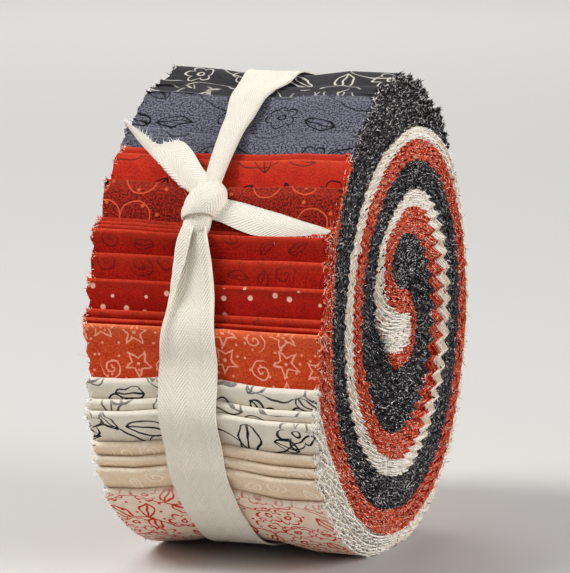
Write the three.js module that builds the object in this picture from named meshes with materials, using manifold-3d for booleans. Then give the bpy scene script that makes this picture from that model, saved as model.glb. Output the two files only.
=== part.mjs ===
// A roll of forty precut quilting-cotton strips, tied round with a woven cotton tape.
// Every strip is cut with pinked edges, folded in half and stacked; the stack is wound up from its
// cut ends, so the folded ends lie one after another down the outside like roof tiles.
// Millimetres, +Z up. The roll's axis lies along X and its front faces -Y. The origin is on the
// surface that the roll stands on, under the middle of the roll's bounding box.
import * as THREE from 'three';
import Module from 'manifold-3d';

const wasm = await Module();
wasm.setup();

// Driving dimensions of the wound roll
const stripWidth = 63.5;            // the strips are cut two and a half inches wide
const rollRadius = 65.5;            // mean radius of the wound stack
const centreHeight = 62.2;          // the roll's weight leaves a small flat spot underneath
const setback = 0.2;                // the section is uneven: its centre is behind the box's middle
const crossSection = { oval: 0.016, ovalTilt: -0.011, egg: 0.001, eggTilt: -0.028 };

// Pinked edges: a zigzag cut along both long edges of every strip
const teethAround = 76;             // teeth round the outermost turn, 5.4 mm apart
const toothDepth = 1.8;             // from the tips to the valleys of the zigzag
const rimBand = 7;                  // how far in from the outline the zigzag reaches on an end

// Folded ends: each stands proud of the strip that it covers
const foldRise = 0.45;              // height of a fold over the mean outline, and of its dip before
const foldLip = 0.14;               // degrees over which the outline climbs from dip to fold
const foldFade = 26;                // degrees after the last fold in which its rise dies away

// The seams between turns, pressed into both ends
const seamWidth = 1.4;
const seamDepth = 1.5;
const seamStep = 5.5;               // length of one straight bit of a seam

// Cotton tape, tied round the middle
const tape = { width: 15.9, thickness: 1.0, centre: -2.3, clearance: 0.3 };
const squeeze = 1.4;                // how far the tied tape draws the roll in
const squeezeReach = 22;            // distance from the tape's centre line where the roll is full
const underSqueeze = 1.2;           // more under the roll, so that the tape never touches down
const knotAngle = 35;               // degrees up the front, from level
const knot = { halfWidth: 5.3, halfLength: 7.2, halfHeight: 3.5, lean: -32, x: -2.6, rise: 3 };

// Where each strip's folded end lies round the roll: 0 is the front, 90 the top, in degrees.
// Dark prints come first at the back, then blue-greys, reds, orange, creams and beiges.
const foldedEnds = {
  dark: [138, 135.4, 131.6, 128.8, 125, 119.6, 117.2, 113.8, 111.4, 108.2, 104, 101.3, 97.6, 95.2,
    92.4, 90, 80.5, 77, 74.3],
  blueGrey: [71.6, 57],
  red: [50.4, 48.2, 40.4, 30.4, 29, 27.7, 26.4, 21.1, 15, 8, 6],
  orange: [4.8],
  cream: [-7.7, -12.4, -14.7],
  beige: [-23, -26.2, -28.9, -36.1],
};
const foldAngles = Object.values(foldedEnds).flat();

// The seam between one turn and the next. It starts at the first folded end on the outside and
// runs down the front, under, up the back and over the top again, inwards.
// turned: degrees wound down from level at the front; radius: distance from the roll's centre.
const turnSeam = [
  { turned: -139, radius: 66 }, { turned: -135, radius: 62 }, { turned: -120, radius: 57.5 },
  { turned: -105, radius: 53 }, { turned: -90, radius: 49.5 }, { turned: -75, radius: 46.5 },
  { turned: -45, radius: 43 }, { turned: -15, radius: 41.2 }, { turned: 45, radius: 40.6 },
  { turned: 75, radius: 41.4 }, { turned: 105, radius: 44.1 }, { turned: 150, radius: 47.4 },
  { turned: 180, radius: 47.6 }, { turned: 210, radius: 45.6 }, { turned: 240, radius: 41 },
  { turned: 270, radius: 31.5 }, { turned: 300, radius: 24.4 }, { turned: 330, radius: 19.8 },
  { turned: 372, radius: 15.6 },
];
// The heart of the roll is an S, where the stack was first doubled back on itself. Its two seams
// run between the darks and between the creams, as [y, z] from the roll's centre.
const darkSeam = [[2, 15], [12, 13.6], [20.5, 8.5], [24.4, 0], [22.6, -10], [14, -18.4], [2, -22],
  [-9, -18.6], [-16, -11]];
const creamSeam = [[11, -3], [2, -3.6], [-7, -2.2], [-13, -3.4]];

// The free ends of the tape, from the knot outwards. Each row is one section: the lower and the
// upper edge as [x, degrees up the front], and how far the tape stands off the cloth there.
const leftTail = [
  { lower: [-4.6, 35.6], upper: [-3.2, 42.2], rise: 2.0 },
  { lower: [-7.3, 37.7], upper: [-5.7, 44], rise: 1.8 },
  { lower: [-11.3, 39.9], upper: [-8.1, 46.7], rise: 1.4 },
  { lower: [-14.8, 43.1], upper: [-11.2, 50], rise: 1.1 },
  { lower: [-19, 46.5], upper: [-14.6, 52.5], rise: 1.1 },
  { lower: [-23.3, 49.5], upper: [-21.2, 51.3], rise: 1.1 },
  { lower: [-26.5, 52], upper: [-25.1, 53.4], rise: 1.1 },
  { lower: [-30.6, 55.5], upper: [-30.9, 56.7], rise: 1.1 },
];
const rightTail = [
  { lower: [-1.4, 31.6], upper: [-1.6, 38.6], rise: 2.0 },
  { lower: [2.8, 30.4], upper: [2.4, 36.9], rise: 1.8 },
  { lower: [8.2, 28.4], upper: [7.4, 35.6], rise: 1.3 },
  { lower: [12.9, 26.8], upper: [13.4, 34.2], rise: 1.1 },
  { lower: [17.9, 26.9], upper: [19.1, 33.1], rise: 1.1 },
  { lower: [24.3, 27.4], upper: [24.6, 31.2], rise: 1.1 },
  { lower: [29.5, 27.5], upper: [29.2, 29.8], rise: 1.1 },
  { lower: [31.7, 27.5], upper: [31.7, 28.8], rise: 1.1 },
];

const radians = THREE.MathUtils.degToRad;
const outerFace = stripWidth / 2;

// Radius of the smooth section at an angle, before folds and tape press into it
function sectionRadius(angle) {
  const a = radians(angle);
  const shape = crossSection;
  return rollRadius * (1 + shape.oval * Math.cos(2 * a) + shape.ovalTilt * Math.sin(2 * a)
    + shape.egg * Math.cos(3 * a) + shape.eggTilt * Math.sin(3 * a));
}

// A point of the roll from its place along the axis, its angle and its radius
function rollPoint(x, angle, radius) {
  const a = radians(angle);
  return new THREE.Vector3(x, setback - radius * Math.cos(a), centreHeight + radius * Math.sin(a));
}

// How far the outline stands over or under the smooth section because of the folded ends
function foldOffset(angle) {
  const first = foldAngles[0];
  const last = foldAngles[foldAngles.length - 1];
  const turned = angle > first ? angle - 360 : angle;
  if (turned <= last) {
    const sinceLast = last - turned;
    const untilFirst = turned - (first - 360);
    return foldRise * Math.max(0, 1 - sinceLast / foldFade)
      - foldRise * Math.max(0, 1 - untilFirst / foldFade);
  }
  const next = foldAngles.findIndex((fold) => fold < turned);
  const above = foldAngles[next - 1];
  const share = (above - turned) / (above - foldAngles[next]);
  return foldRise * (1 - 2 * share);
}

// How far the tied tape draws the roll in
function squeezeAt(x, angle) {
  const edge = tape.width / 2 + tape.clearance;
  const away = THREE.MathUtils.smoothstep(Math.abs(x - tape.centre), edge, squeezeReach);
  const fromBottom = Math.abs(THREE.MathUtils.euclideanModulo(angle + 90 + 180, 360) - 180);
  const under = 1 - THREE.MathUtils.smoothstep(fromBottom, 14, 34);
  return (1 - away) * (squeeze + underSqueeze * under);
}

// The zigzag of the pinked cut, from 0 on a tip to toothDepth in a valley
function pinkedInset(angle) {
  const along = THREE.MathUtils.euclideanModulo(angle / 360 * teethAround, 1);
  return toothDepth * 2 * Math.min(along, 1 - along);
}

// Every angle at which the roll's outline has a corner: tips, valleys, folds and dips
function outlineAngles() {
  const angles = [];
  const halfTeeth = 2 * teethAround;
  for (let i = 0; i < halfTeeth; i += 1) {
    const angle = 180 - 360 * i / halfTeeth;
    const crowded = foldAngles.some((fold) => angle > fold - foldLip && angle < fold + 2 * foldLip);
    if (!crowded) angles.push(angle);
  }
  for (const fold of foldAngles) angles.push(fold, fold + foldLip);
  return angles.sort((a, b) => b - a);
}

// One ring of the roll's skin. inset moves the ring inwards, pinked gives it the zigzag.
function skinRing(angles, { side, x, inset = 0, pinked = false }) {
  return angles.map((angle) => {
    const lip = foldAngles.some((fold) => Math.abs(angle - fold - foldLip) < 1e-6);
    const offset = lip ? -foldRise : foldOffset(angle - 1e-6);
    const radius = sectionRadius(angle) + offset - squeezeAt(x, angle) - inset;
    const place = pinked ? side * (outerFace - pinkedInset(angle)) : x;
    const point = rollPoint(place, angle, radius);
    point.z = Math.max(point.z, inset);
    return point;
  });
}

// A closed solid from rings of equal length, joined in order and capped at both ends
function loftedSolid(rings) {
  const count = rings[0].length;
  const vertProperties = new Float32Array(rings.flat().flatMap((p) => [p.x, p.y, p.z]));
  const faces = [];
  for (let r = 0; r + 1 < rings.length; r += 1) {
    for (let i = 0; i < count; i += 1) {
      const a = r * count + i;
      const b = r * count + (i + 1) % count;
      faces.push([a, b, b + count], [a, b + count, a + count]);
    }
  }
  const lastRing = (rings.length - 1) * count;
  for (const [start, flip] of [[0, true], [lastRing, false]]) {
    const ring = rings[start / count];
    const normal = new THREE.Vector3();
    ring.forEach((p, i) => normal.add(new THREE.Vector3().crossVectors(p, ring[(i + 1) % count])));
    normal.normalize();
    const across = new THREE.Vector3().subVectors(ring[1], ring[0]).normalize();
    const up = new THREE.Vector3().crossVectors(normal, across);
    const flat = ring.map((p) => new THREE.Vector2(p.dot(across), p.dot(up)));
    for (const [a, b, c] of THREE.ShapeUtils.triangulateShape(flat, [])) {
      faces.push(flip ? [start + a, start + c, start + b] : [start + a, start + b, start + c]);
    }
  }
  const build = (list) => new wasm.Manifold(new wasm.Mesh({
    numProp: 3, vertProperties, triVerts: new Uint32Array(list.flat()),
  }));
  const solid = build(faces);
  return solid.volume() > 0 ? solid : build(faces.map(([a, b, c]) => [a, c, b]));
}

// A groove cutter that follows a line of [y, z] points across one end of the roll
function seamCutter(line, side) {
  const normals = line.map((point, i) => {
    const before = line[Math.max(i - 1, 0)];
    const after = line[Math.min(i + 1, line.length - 1)];
    const along = new THREE.Vector2().subVectors(after, before).normalize();
    return new THREE.Vector2(-along.y, along.x).multiplyScalar(seamWidth / 2);
  });
  const floor = outerFace - toothDepth / 2 - seamDepth;
  const rings = [floor, outerFace + 1].map((x) => {
    const left = line.map((p, i) => new THREE.Vector3(side * x, p.x + normals[i].x, p.y + normals[i].y));
    const right = line.map((p, i) => new THREE.Vector3(side * x, p.x - normals[i].x, p.y - normals[i].y));
    return [...left, ...right.reverse()];
  });
  return loftedSolid(rings);
}

// A smooth line through hand-set points, in steps of about seamStep
function smoothLine(points) {
  const curve = new THREE.SplineCurve(points);
  return curve.getSpacedPoints(Math.max(4, Math.round(curve.getLength() / seamStep)));
}

function seamLines() {
  const turns = turnSeam.map(({ turned, radius }) => {
    const p = rollPoint(0, -turned, radius);
    return new THREE.Vector2(p.y, p.z);
  });
  const heart = [darkSeam, creamSeam].map((line) => (
    line.map(([y, z]) => new THREE.Vector2(y + setback, z + centreHeight))
  ));
  return [turns, ...heart].map(smoothLine);
}

function woundStack() {
  const angles = outlineAngles();
  const endFace = outerFace - toothDepth / 2;
  const tapeEdge = tape.width / 2 + tape.clearance;
  const between = [-29, -20, tape.centre - tapeEdge - 3.5, tape.centre - tapeEdge,
    tape.centre + tapeEdge, tape.centre + tapeEdge + 3.5, 18, 29];
  const rings = [
    skinRing(angles, { side: -1, x: -endFace, inset: rimBand }),
    skinRing(angles, { side: -1, x: -outerFace, pinked: true }),
    ...between.map((x) => skinRing(angles, { x })),
    skinRing(angles, { side: 1, x: outerFace, pinked: true }),
    skinRing(angles, { side: 1, x: endFace, inset: rimBand }),
  ];
  let solid = loftedSolid(rings);
  for (const line of seamLines()) {
    for (const side of [-1, 1]) solid = solid.subtract(seamCutter(line, side));
  }
  return solid;
}

// Radius of the tape's inner face, clear of the folds under it
function tapeInnerRadius(angle) {
  return sectionRadius(angle) - squeezeAt(tape.centre, angle) + foldRise + tape.clearance + 0.05;
}

// The band: from the knot down the front, under, up the back and over the top to the knot again.
// It is gathered lengthwise where it enters the knot and lies flat at full width elsewhere.
function tapeBand() {
  const gathers = [
    { turned: 1, width: 4.2, thickness: 2.4, x: -3 }, { turned: 6, width: 4.6, thickness: 2.2, x: -3.1 },
    { turned: 15, width: 10.2, thickness: 1.6, x: -3 }, { turned: 26, width: 13.8, thickness: 1.1, x: -2.6 },
    { turned: 36, width: tape.width, thickness: tape.thickness, x: tape.centre },
    { turned: 320, width: tape.width, thickness: tape.thickness, x: tape.centre },
    { turned: 336, width: 10, thickness: 1.5, x: -2.1 }, { turned: 347, width: 5, thickness: 2.2, x: -2.6 },
    { turned: 358, width: 4.2, thickness: 2.4, x: -2.8 },
  ];
  const step = 5.95;
  const rings = [];
  for (let turned = 1; turned <= 358.01; turned += step) {
    const after = gathers.findIndex((row) => row.turned >= turned - 1e-6);
    const to = gathers[after];
    const from = gathers[Math.max(after - 1, 0)];
    const share = to === from ? 0 : (turned - from.turned) / (to.turned - from.turned);
    const at = (key) => THREE.MathUtils.lerp(from[key], to[key], share);
    const angle = THREE.MathUtils.euclideanModulo(knotAngle - turned + 180, 360) - 180;
    const inner = tapeInnerRadius(angle);
    const outer = inner + at('thickness');
    const half = at('width') / 2;
    rings.push([
      rollPoint(at('x') - half, angle, inner), rollPoint(at('x') + half, angle, inner),
      rollPoint(at('x') + half, angle, outer), rollPoint(at('x') - half, angle, outer),
    ]);
  }
  return loftedSolid(rings);
}

// The knot: one flattened lump, leaning across the band, with the crease of its wrapping turn
function tapeKnot() {
  const rounds = 9;
  const sides = 16;
  const radius = sectionRadius(knotAngle) + knot.rise;
  const centre = rollPoint(knot.x, knotAngle, radius);
  const out = rollPoint(0, knotAngle, 1).sub(rollPoint(0, knotAngle, 0));
  const axis = new THREE.Vector3(1, 0, 0);
  const up = new THREE.Vector3().crossVectors(axis, out).negate();
  const lean = radians(knot.lean);
  const long = up.clone().multiplyScalar(Math.cos(lean)).addScaledVector(axis, -Math.sin(lean));
  const wide = new THREE.Vector3().crossVectors(long, out);
  const rings = [];
  for (let r = 0; r < rounds; r += 1) {
    const latitude = radians(-82 + 164 * r / (rounds - 1));
    const crease = 1 - 0.1 * Math.exp(-(((r - 2.2) / 0.7) ** 2));
    const girth = Math.cos(latitude) ** 0.7 * crease;
    rings.push(Array.from({ length: sides }, (_, s) => {
      const a = 2 * Math.PI * s / sides;
      return centre.clone().addScaledVector(long, knot.halfLength * Math.sin(latitude))
        .addScaledVector(wide, knot.halfWidth * girth * Math.cos(a))
        .addScaledVector(out, knot.halfHeight * girth * Math.sin(a));
    }));
  }
  return loftedSolid(rings);
}

// A free end of the tape, lying over the cloth
function tapeTail(rows) {
  return loftedSolid(rows.map(({ lower, upper, rise }) => {
    const middle = [(lower[0] + upper[0]) / 2, (lower[1] + upper[1]) / 2];
    const line = [lower, middle, upper];
    const at = ([x, angle], height) => rollPoint(x, angle, sectionRadius(angle) + height);
    return [...line.map((p) => at(p, rise)), ...line.reverse().map((p) => at(p, rise + tape.thickness))];
  }));
}

function tiedTape() {
  return [tapeKnot(), tapeTail(leftTail), tapeTail(rightTail)]
    .reduce((whole, piece) => whole.add(piece), tapeBand());
}

function meshOf(name, solid, material) {
  const { vertProperties, triVerts } = solid.getMesh();
  const geometry = new THREE.BufferGeometry();
  geometry.setAttribute('position', new THREE.BufferAttribute(vertProperties, 3));
  geometry.setIndex(new THREE.BufferAttribute(triVerts, 1));
  geometry.computeVertexNormals();
  const mesh = new THREE.Mesh(geometry, material);
  mesh.name = name;
  return mesh;
}

const printedCotton = new THREE.MeshStandardMaterial({ color: 0xa8321f, roughness: 0.9, metalness: 0 });
const undyedCotton = new THREE.MeshStandardMaterial({ color: 0xe6dfcf, roughness: 0.85, metalness: 0 });

const stripRoll = new THREE.Group();
stripRoll.add(meshOf('wound_strips', woundStack(), printedCotton));
stripRoll.add(meshOf('tape_tie', tiedTape(), undyedCotton));

export default stripRoll;
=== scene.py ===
# %% [markdown]
# ## A roll of printed cotton strips, tied with a cotton tape
# The real thing is forty strips of quilting cotton, each cut 63.5 mm wide with pinking shears, folded
# in half, stacked, and wound up from the cut ends. A woven tape is tied round the middle. The lesson
# follows the maker: it lays out the winding, then cuts the cloth, prints it, frays it and ties it up.

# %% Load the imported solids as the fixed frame
import math

import bpy
import numpy as np
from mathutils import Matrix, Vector


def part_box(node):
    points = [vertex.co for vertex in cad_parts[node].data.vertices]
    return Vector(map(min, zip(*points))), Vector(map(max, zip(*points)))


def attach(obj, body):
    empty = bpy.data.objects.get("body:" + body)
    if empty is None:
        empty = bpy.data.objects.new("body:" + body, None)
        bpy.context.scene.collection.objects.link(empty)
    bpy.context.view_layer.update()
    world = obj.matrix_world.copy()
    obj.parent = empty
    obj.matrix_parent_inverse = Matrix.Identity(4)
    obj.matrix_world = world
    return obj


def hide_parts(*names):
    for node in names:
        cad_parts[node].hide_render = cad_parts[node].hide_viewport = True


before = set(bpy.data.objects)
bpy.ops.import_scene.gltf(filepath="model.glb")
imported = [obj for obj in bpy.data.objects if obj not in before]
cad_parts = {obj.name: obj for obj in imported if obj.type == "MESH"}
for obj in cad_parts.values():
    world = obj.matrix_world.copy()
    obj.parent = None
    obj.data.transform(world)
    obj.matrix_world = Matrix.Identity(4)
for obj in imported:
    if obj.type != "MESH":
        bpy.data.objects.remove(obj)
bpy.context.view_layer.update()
MM = 0.001
roll_low, roll_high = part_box("wound_strips")
strip_width = (roll_high.x - roll_low.x) / MM
print("strip width", round(strip_width, 2), "mm")

# %% [markdown]
# ### The camera
# The photograph was taken from well back with a long lens, a little above the roll and turned so that
# one wound end shows. A camera is easiest to place by what it looks at: a target point, a distance,
# and two angles, because each of these can then be changed without losing the roll from the frame. The
# long lens keeps the strips nearly parallel, as in the photograph.

# %% Place the camera on a sphere round its target
camera_turn = math.radians(19.8)
camera_rise = math.radians(7.79)
camera_distance = 1072.8
camera_target = Vector((0.16, 0.2, 70.36))
long_lens = 246.6


def look_at(thing, place, target):
    """Put a camera or a light somewhere and point its -Z axis at a target, both in millimetres."""
    thing.location = place * MM
    thing.rotation_euler = (target - place).to_track_quat("-Z", "Y").to_euler()
    bpy.context.scene.collection.objects.link(thing)


camera_data = bpy.data.cameras.new("photo_camera")
camera_data.lens = long_lens
camera_data.clip_end = 20
camera = bpy.data.objects.new("photo_camera", camera_data)
sight_line = Vector((
    math.sin(camera_turn) * math.cos(camera_rise),
    -math.cos(camera_turn) * math.cos(camera_rise),
    math.sin(camera_rise),
))
look_at(camera, camera_target + sight_line * camera_distance, camera_target)
bpy.context.scene.camera = camera
print("camera at", [round(c, 3) for c in camera.location])

# %% [markdown]
# ### Floor and light
# A product picture like this one is lit by one large soft source high on the left, with a weak fill from
# the right and a soft light from behind. The floor is a plain pale sheet of paper that runs far back, so no
# horizon shows. A picture of a studio could light the scene too, but three area lights are easier to
# reason about, and they give soft shadows because they are large for their distance.

# %% Lay the floor
floor_half = 9.0
floor_mesh = bpy.data.meshes.new("paper_floor")
corners = [(-floor_half, -floor_half, 0), (floor_half, -floor_half, 0),
           (floor_half, floor_half, 0), (-floor_half, floor_half, 0)]
floor_mesh.from_pydata(corners, [], [(0, 1, 2, 3)])
paper_floor = bpy.data.objects.new("paper_floor", floor_mesh)
bpy.context.scene.collection.objects.link(paper_floor)

paper = bpy.data.materials.new("pale_paper")
paper.use_nodes = True
paper_shader = paper.node_tree.nodes["Principled BSDF"]
paper_shader.inputs["Base Color"].default_value = (0.61, 0.60, 0.585, 1)
paper_shader.inputs["Roughness"].default_value = 0.9
floor_mesh.materials.append(paper)
print("floor", 2 * floor_half, "m across")

# %% Hang the lights
bpy.context.scene.view_settings.view_transform = "Standard"
roll_middle = Vector((0, 0, 65))


def soft_box(name, place, size, power, tint=(1, 1, 1)):
    """A square area light, pointed at the middle of the roll."""
    data = bpy.data.lights.new(name, "AREA")
    data.size = size
    data.energy = power
    data.color = tint
    light = bpy.data.objects.new(name, data)
    look_at(light, Vector(place), roll_middle)
    return light


key_light = soft_box("window", (-1000, -680, 1450), 0.75, 28.5, (1.0, 0.985, 0.96))
fill_light = soft_box("fill", (1700, -250, 750), 1.1, 23.5, (1.0, 0.99, 0.98))
back_light = soft_box("back", (-900, 2300, 1500), 1.4, 31, (1, 1, 1))

sky = bpy.data.worlds.new("studio")
sky.use_nodes = True
sky.node_tree.nodes["Background"].inputs["Color"].default_value = (1.0, 0.99, 0.975, 1)
sky.node_tree.nodes["Background"].inputs["Strength"].default_value = 0.235
bpy.context.scene.world = sky
print("lights:", key_light.name, fill_light.name, back_light.name)

# %% [markdown]
# ### How the stack is wound
# Seen from its end, the roll is one thick stack of cloth that winds two and a half turns inwards. In
# its heart the stack doubles back on itself in an S, which is where the maker started. The layers are
# placed from a table of cross-sections: every 15 degrees it gives the radius of the dark face, of the
# border between dark and red prints, and of the border between red and cream prints. What lies
# outside a section is the turn wound over it, or the open air, and a border that hasn't begun yet lies
# in the open air. A spiral formula would be shorter, but a
# roll that was wound by hand is tighter in some places than in others, and a table can follow that.

# %% The smooth outline of the roll
roll_radius = 65.5
roll_y, roll_z = 0.2, 62.2
oval, oval_tilt, egg, egg_tilt = 0.016, -0.011, 0.001, -0.028


def outline_radius(angle):
    """Radius of the roll at an angle in degrees: 0 is the front, 90 the top."""
    a = np.radians(angle)
    shape = oval * np.cos(2 * a) + oval_tilt * np.sin(2 * a)
    return roll_radius * (1 + shape + egg * np.cos(3 * a) + egg_tilt * np.sin(3 * a))


front_radius, top_radius = (round(float(outline_radius(angle)), 1) for angle in (0, 90))
print("radius in front", front_radius, "mm, on top", top_radius, "mm")

# %% Sections of the wound stack, every 15 degrees down the front and inwards
section_step = 15.0
first_section = -135.0
open_air = 99
dark_face = [
    62, 57.5, 53, 49.5, 46.5, 44.9, 43.4, 42.5, 41.8, 41.7, 41.5, 41.3,
    41, 41, 41.4, 42.6, 44.1, 45.3, 46.5, 47.6, 48.3, 48.6, 47.8, 46,
    43.3, 39.8, 34.4, 30, 27, 24.6, 22.6, 19.8, 17, 14.6, 12, 10,
    9.8, 10.8, 12.4, 15, 20.2, 22.2, 23.2, 24.2, 24.6, 24.4, 23.6, 21.6,
    18.6, 16.5, 15.3,
]
dark_to_red = [open_air] * 6 + [
    61, 56.4, 53.3, 51.5, 50.6, 50,
    49.9, 50.3, 50.9, 51.3, 52.7, 54.9, 56.6, 57.6, 58, 57.4, 56.5, 54.8,
    52, 47.8, 43, 38.5, 35, 32, 30.6, 29.3, 27.9, 27.5, 26.8, 26.1,
    26.2, 28.6, 29.9, 30.4, 31.2, 32.3, 33.3, 34.4, 34.8, 34, 33, 31.6,
    29, 26.3, 23.4,
]
red_to_cream = [open_air] * 9 + [
    66.4, 64.4, 60.9,
    58.5, 58, 57.4, 57.9, 59.8, 61.9, 63.6, 64.5, 64.6, 64, 63, 61.3,
    58.2, 54, 49.5, 45.5, 42, 39.3, 37.4, 36.2, 35.1, 34, 33.9, 34,
    34.4, 35.3, 36.5, 38, 39.6, 41, 41.9, 42.5, 42.6, 42.4, 41.8, 40.4,
    38.2, 34.6, 29.8,
]
last_section = first_section + section_step * (len(dark_face) - 1)
print(len(dark_face), "sections, wound from", first_section, "to", last_section, "degrees")

# %% Where each strip's folded end lies: degrees up the front, in the order of the stack
dark_folds = [138, 135.4, 131.6, 128.8, 125, 119.6, 117.2, 113.8, 111.4, 108.2, 104, 101.3, 97.6,
              95.2, 92.4, 90, 80.5, 77, 74.3]
blue_grey_folds = [71.6, 57]
red_folds = [50.4, 48.2, 40.4, 30.4, 29, 27.7, 26.4, 21.1, 15, 8, 6]
orange_folds = [4.8]
cream_folds = [-7.7, -12.4, -14.7]
beige_folds = [-23, -26.2, -28.9, -36.1]
fold_angles = np.array(
    dark_folds + blue_grey_folds + red_folds + orange_folds + cream_folds + beige_folds, float)
strip_count = len(fold_angles)
dark_count = len(dark_folds + blue_grey_folds)
red_count = len(red_folds + orange_folds)
group_starts = [0, dark_count, dark_count + red_count, strip_count]
groups = list(zip(group_starts, group_starts[1:]))
print(strip_count, "strips in groups of", [end - start for start, end in groups])

# %% How far each strip's cut ends stand back from the last section, in millimetres
cut_back = np.interp(np.arange(strip_count), group_starts, [20, 16, 8.5, 6.5])
print("cut ends stand back by", cut_back[0], "to", round(float(cut_back[-1]), 1), "mm")

# %% [markdown]
# ### Strip thicknesses
# Below its own fold a strip fills out to the full thickness of two layers of cloth, and it is thickest
# right at the fold, where the cloth springs open. Each colour group shares the room between its two
# borders. Smoothing the shared thickness, and not the folds, keeps every fold a crisp little step.

# %% Helpers for smooth curves along the winding
turned = np.arange(-139.0, last_section + 0.5, 1.0)


def smooth(values, sigma):
    """Blur a list of numbers with a bell curve of that many steps, keeping its ends."""
    reach = int(3 * sigma)
    bell = np.exp(-0.5 * (np.arange(-reach, reach + 1) / sigma) ** 2)
    padded = np.concatenate([np.full(reach, values[0]), values, np.full(reach, values[-1])])
    return np.convolve(padded, bell / bell.sum(), "valid")


def from_sections(column):
    """A column of the section table, at every degree of winding."""
    angles = first_section + section_step * np.arange(len(column))
    return np.interp(turned, angles, column)


def length_along(points):
    """Length along a line of points, from zero at its first."""
    step = np.linalg.norm(np.diff(points, axis=0), axis=1)
    return np.concatenate([[0], np.cumsum(step)])


print("the winding has", len(turned), "degrees before it reaches the heart")

# %% Borders of the three colour groups at every degree
border_blur = 4
first_radius, first_fall = 64.2, 0.55
covered_from = 221
turn_gap = 0.1
complete_from = 45

outline = outline_radius(-turned)
inner_face = from_sections(dark_face)
before_table = turned < first_section
inner_face[before_table] = first_radius - (first_section - turned[before_table]) * first_fall
inner_face = smooth(inner_face, border_blur)
turn_outside = np.interp(turned - 360, turned, inner_face) - turn_gap
outer_face = np.where(turned < covered_from, outline, turn_outside)
red_border = np.minimum(from_sections(dark_to_red), outer_face)
cream_border = np.minimum(from_sections(red_to_cream), outer_face)
complete = turned > complete_from
red_border = np.where(complete, smooth(red_border, border_blur), red_border)
cream_border = np.where(complete, smooth(cream_border, border_blur), cream_border)
borders = [inner_face, red_border, cream_border, outer_face]
print("the whole stack is", round(float((outer_face - inner_face)[complete].mean()), 1), "mm thick")

# %% Radii of the forty-one faces between the strips, at every degree
fold_swell = 0.75
swell_length = 5.0
thinnest_strip = 0.3
thickness_blur = 5


def strip_faces():
    """One row of face radii for each degree: face k lies under strip k."""
    faces = np.zeros((len(turned), strip_count + 1))
    faces[:, 0] = inner_face
    for number, (start, end) in enumerate(groups):
        low = faces[:, start]
        high = borders[number + 1]
        since = turned[:, None] + fold_angles[None, start:end]
        arc = np.radians(np.maximum(since, 0)) * outline[:, None]
        weight = np.where(since >= -0.01, 1 + fold_swell * np.exp(-arc / swell_length), 0)
        present = weight.sum(1)
        share = np.where(present > 0, (high - borders[number]) / np.maximum(present, 1e-6), np.nan)
        first = int(np.argmax(present > 0))
        share[:first] = share[first]
        share = smooth(np.maximum(share, thinnest_strip), thickness_blur)
        faces[:, start + 1:end + 1] = low[:, None] + np.cumsum(weight * share[:, None], axis=1)
    return faces


faces = strip_faces()
thickness = np.diff(faces, axis=1)
tight = thickness[turned > 100]
print("a strip is", round(float(tight.min()), 2), "to", round(float(tight.max()), 2), "mm thick in the roll")

# %% [markdown]
# ### The heart of the roll
# In the middle the polar sections no longer fit, because the stack turns round two hairpins: first
# with the dark side inside, then the other way with the cream side inside. Each hairpin has a pivot,
# and the sections fan out from it like spokes. That keeps the same four borders going through the S, so
# every strip stays one piece of cloth from its fold to its cut ends.

# %% Spokes round the two pivots and across the last leg
dark_pivot = np.array([2.0, 15.0])
cream_pivot = np.array([12.0, -3.0])
dark_spokes = {
    "heading": [90, 135, 180, 225, 255, 270, 299],
    "faces": [(0.4, 5.5, 12, 15.6), (0.3, 5, 11.5, 14.2), (0.3, 4, 11, 17.6), (0.3, 4.2, 11.3, 20.8),
              (0.3, 5, 12, 19.5), (0.3, 5.5, 12.5, 18.3), (0.6, 7.5, 16, 20.3)],
}
cream_spokes = {
    "heading": [119, 60, 0, -60, -90],
    "faces": [(20, 13.1, 4.6, 0.3), (14.1, 7.6, 2.9, 0.3), (12.2, 6, 1.7, 0.3),
              (13.5, 8, 3.3, 0.3), (15.8, 10, 5.5, 0.6)],
}
last_leg = {
    "y": [9, 5, -5, -12.5, -15.5],
    "faces": [(-20.6, -13.6, -9.2, -3.7), (-21.8, -14, -9.5, -3.8), (-20.8, -11.5, -8, -3),
              (-15.5, -9, -6.2, -3.2), (-13, -8.6, -6.2, -3.6)],
}
spoke_step = 9.0


def fan(pivot, spokes):
    """Section ends round a pivot, with new spokes filled in every few degrees."""
    known = np.array(spokes["heading"], float)
    count = int(abs(known[-1] - known[0]) / spoke_step) + 1
    heading = np.linspace(known[0], known[-1], count)
    order = np.argsort(known)
    table = np.array(spokes["faces"], float)[order]
    distance = np.stack([np.interp(heading, known[order], table[:, i]) for i in range(4)], 1)
    a = np.radians(heading)
    direction = np.stack([np.cos(a), np.sin(a)], 1)
    return pivot + distance[:, :, None] * direction[:, None, :]


leg_step = 2.3
leg_y = np.arange(7.5, -15.6, -leg_step)
order = np.argsort(last_leg["y"])
leg_z = np.array(last_leg["faces"], float)[order]
leg_faces = [np.interp(leg_y, np.array(last_leg["y"], float)[order], leg_z[:, i]) for i in range(4)]
leg = np.stack([np.stack([leg_y, z], 1) for z in leg_faces], 1)
heart = np.concatenate([fan(dark_pivot, dark_spokes), fan(cream_pivot, cream_spokes)[1:], leg])
print(len(heart), "sections in the heart")

# %% Join the turns and the heart into one run of sections
def even_faces(four):
    """Points on all forty-one faces, shared out evenly between the four borders of each section."""
    result = np.zeros((len(four), strip_count + 1, 2))
    for number, (start, end) in enumerate(groups):
        share = np.linspace(0, 1, end - start + 1)[None, :, None]
        result[:, start:end + 1] = four[:, None, number] * (1 - share) + four[:, None, number + 1] * share
    return result


join_reach = 30
join_passes = 2

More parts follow.
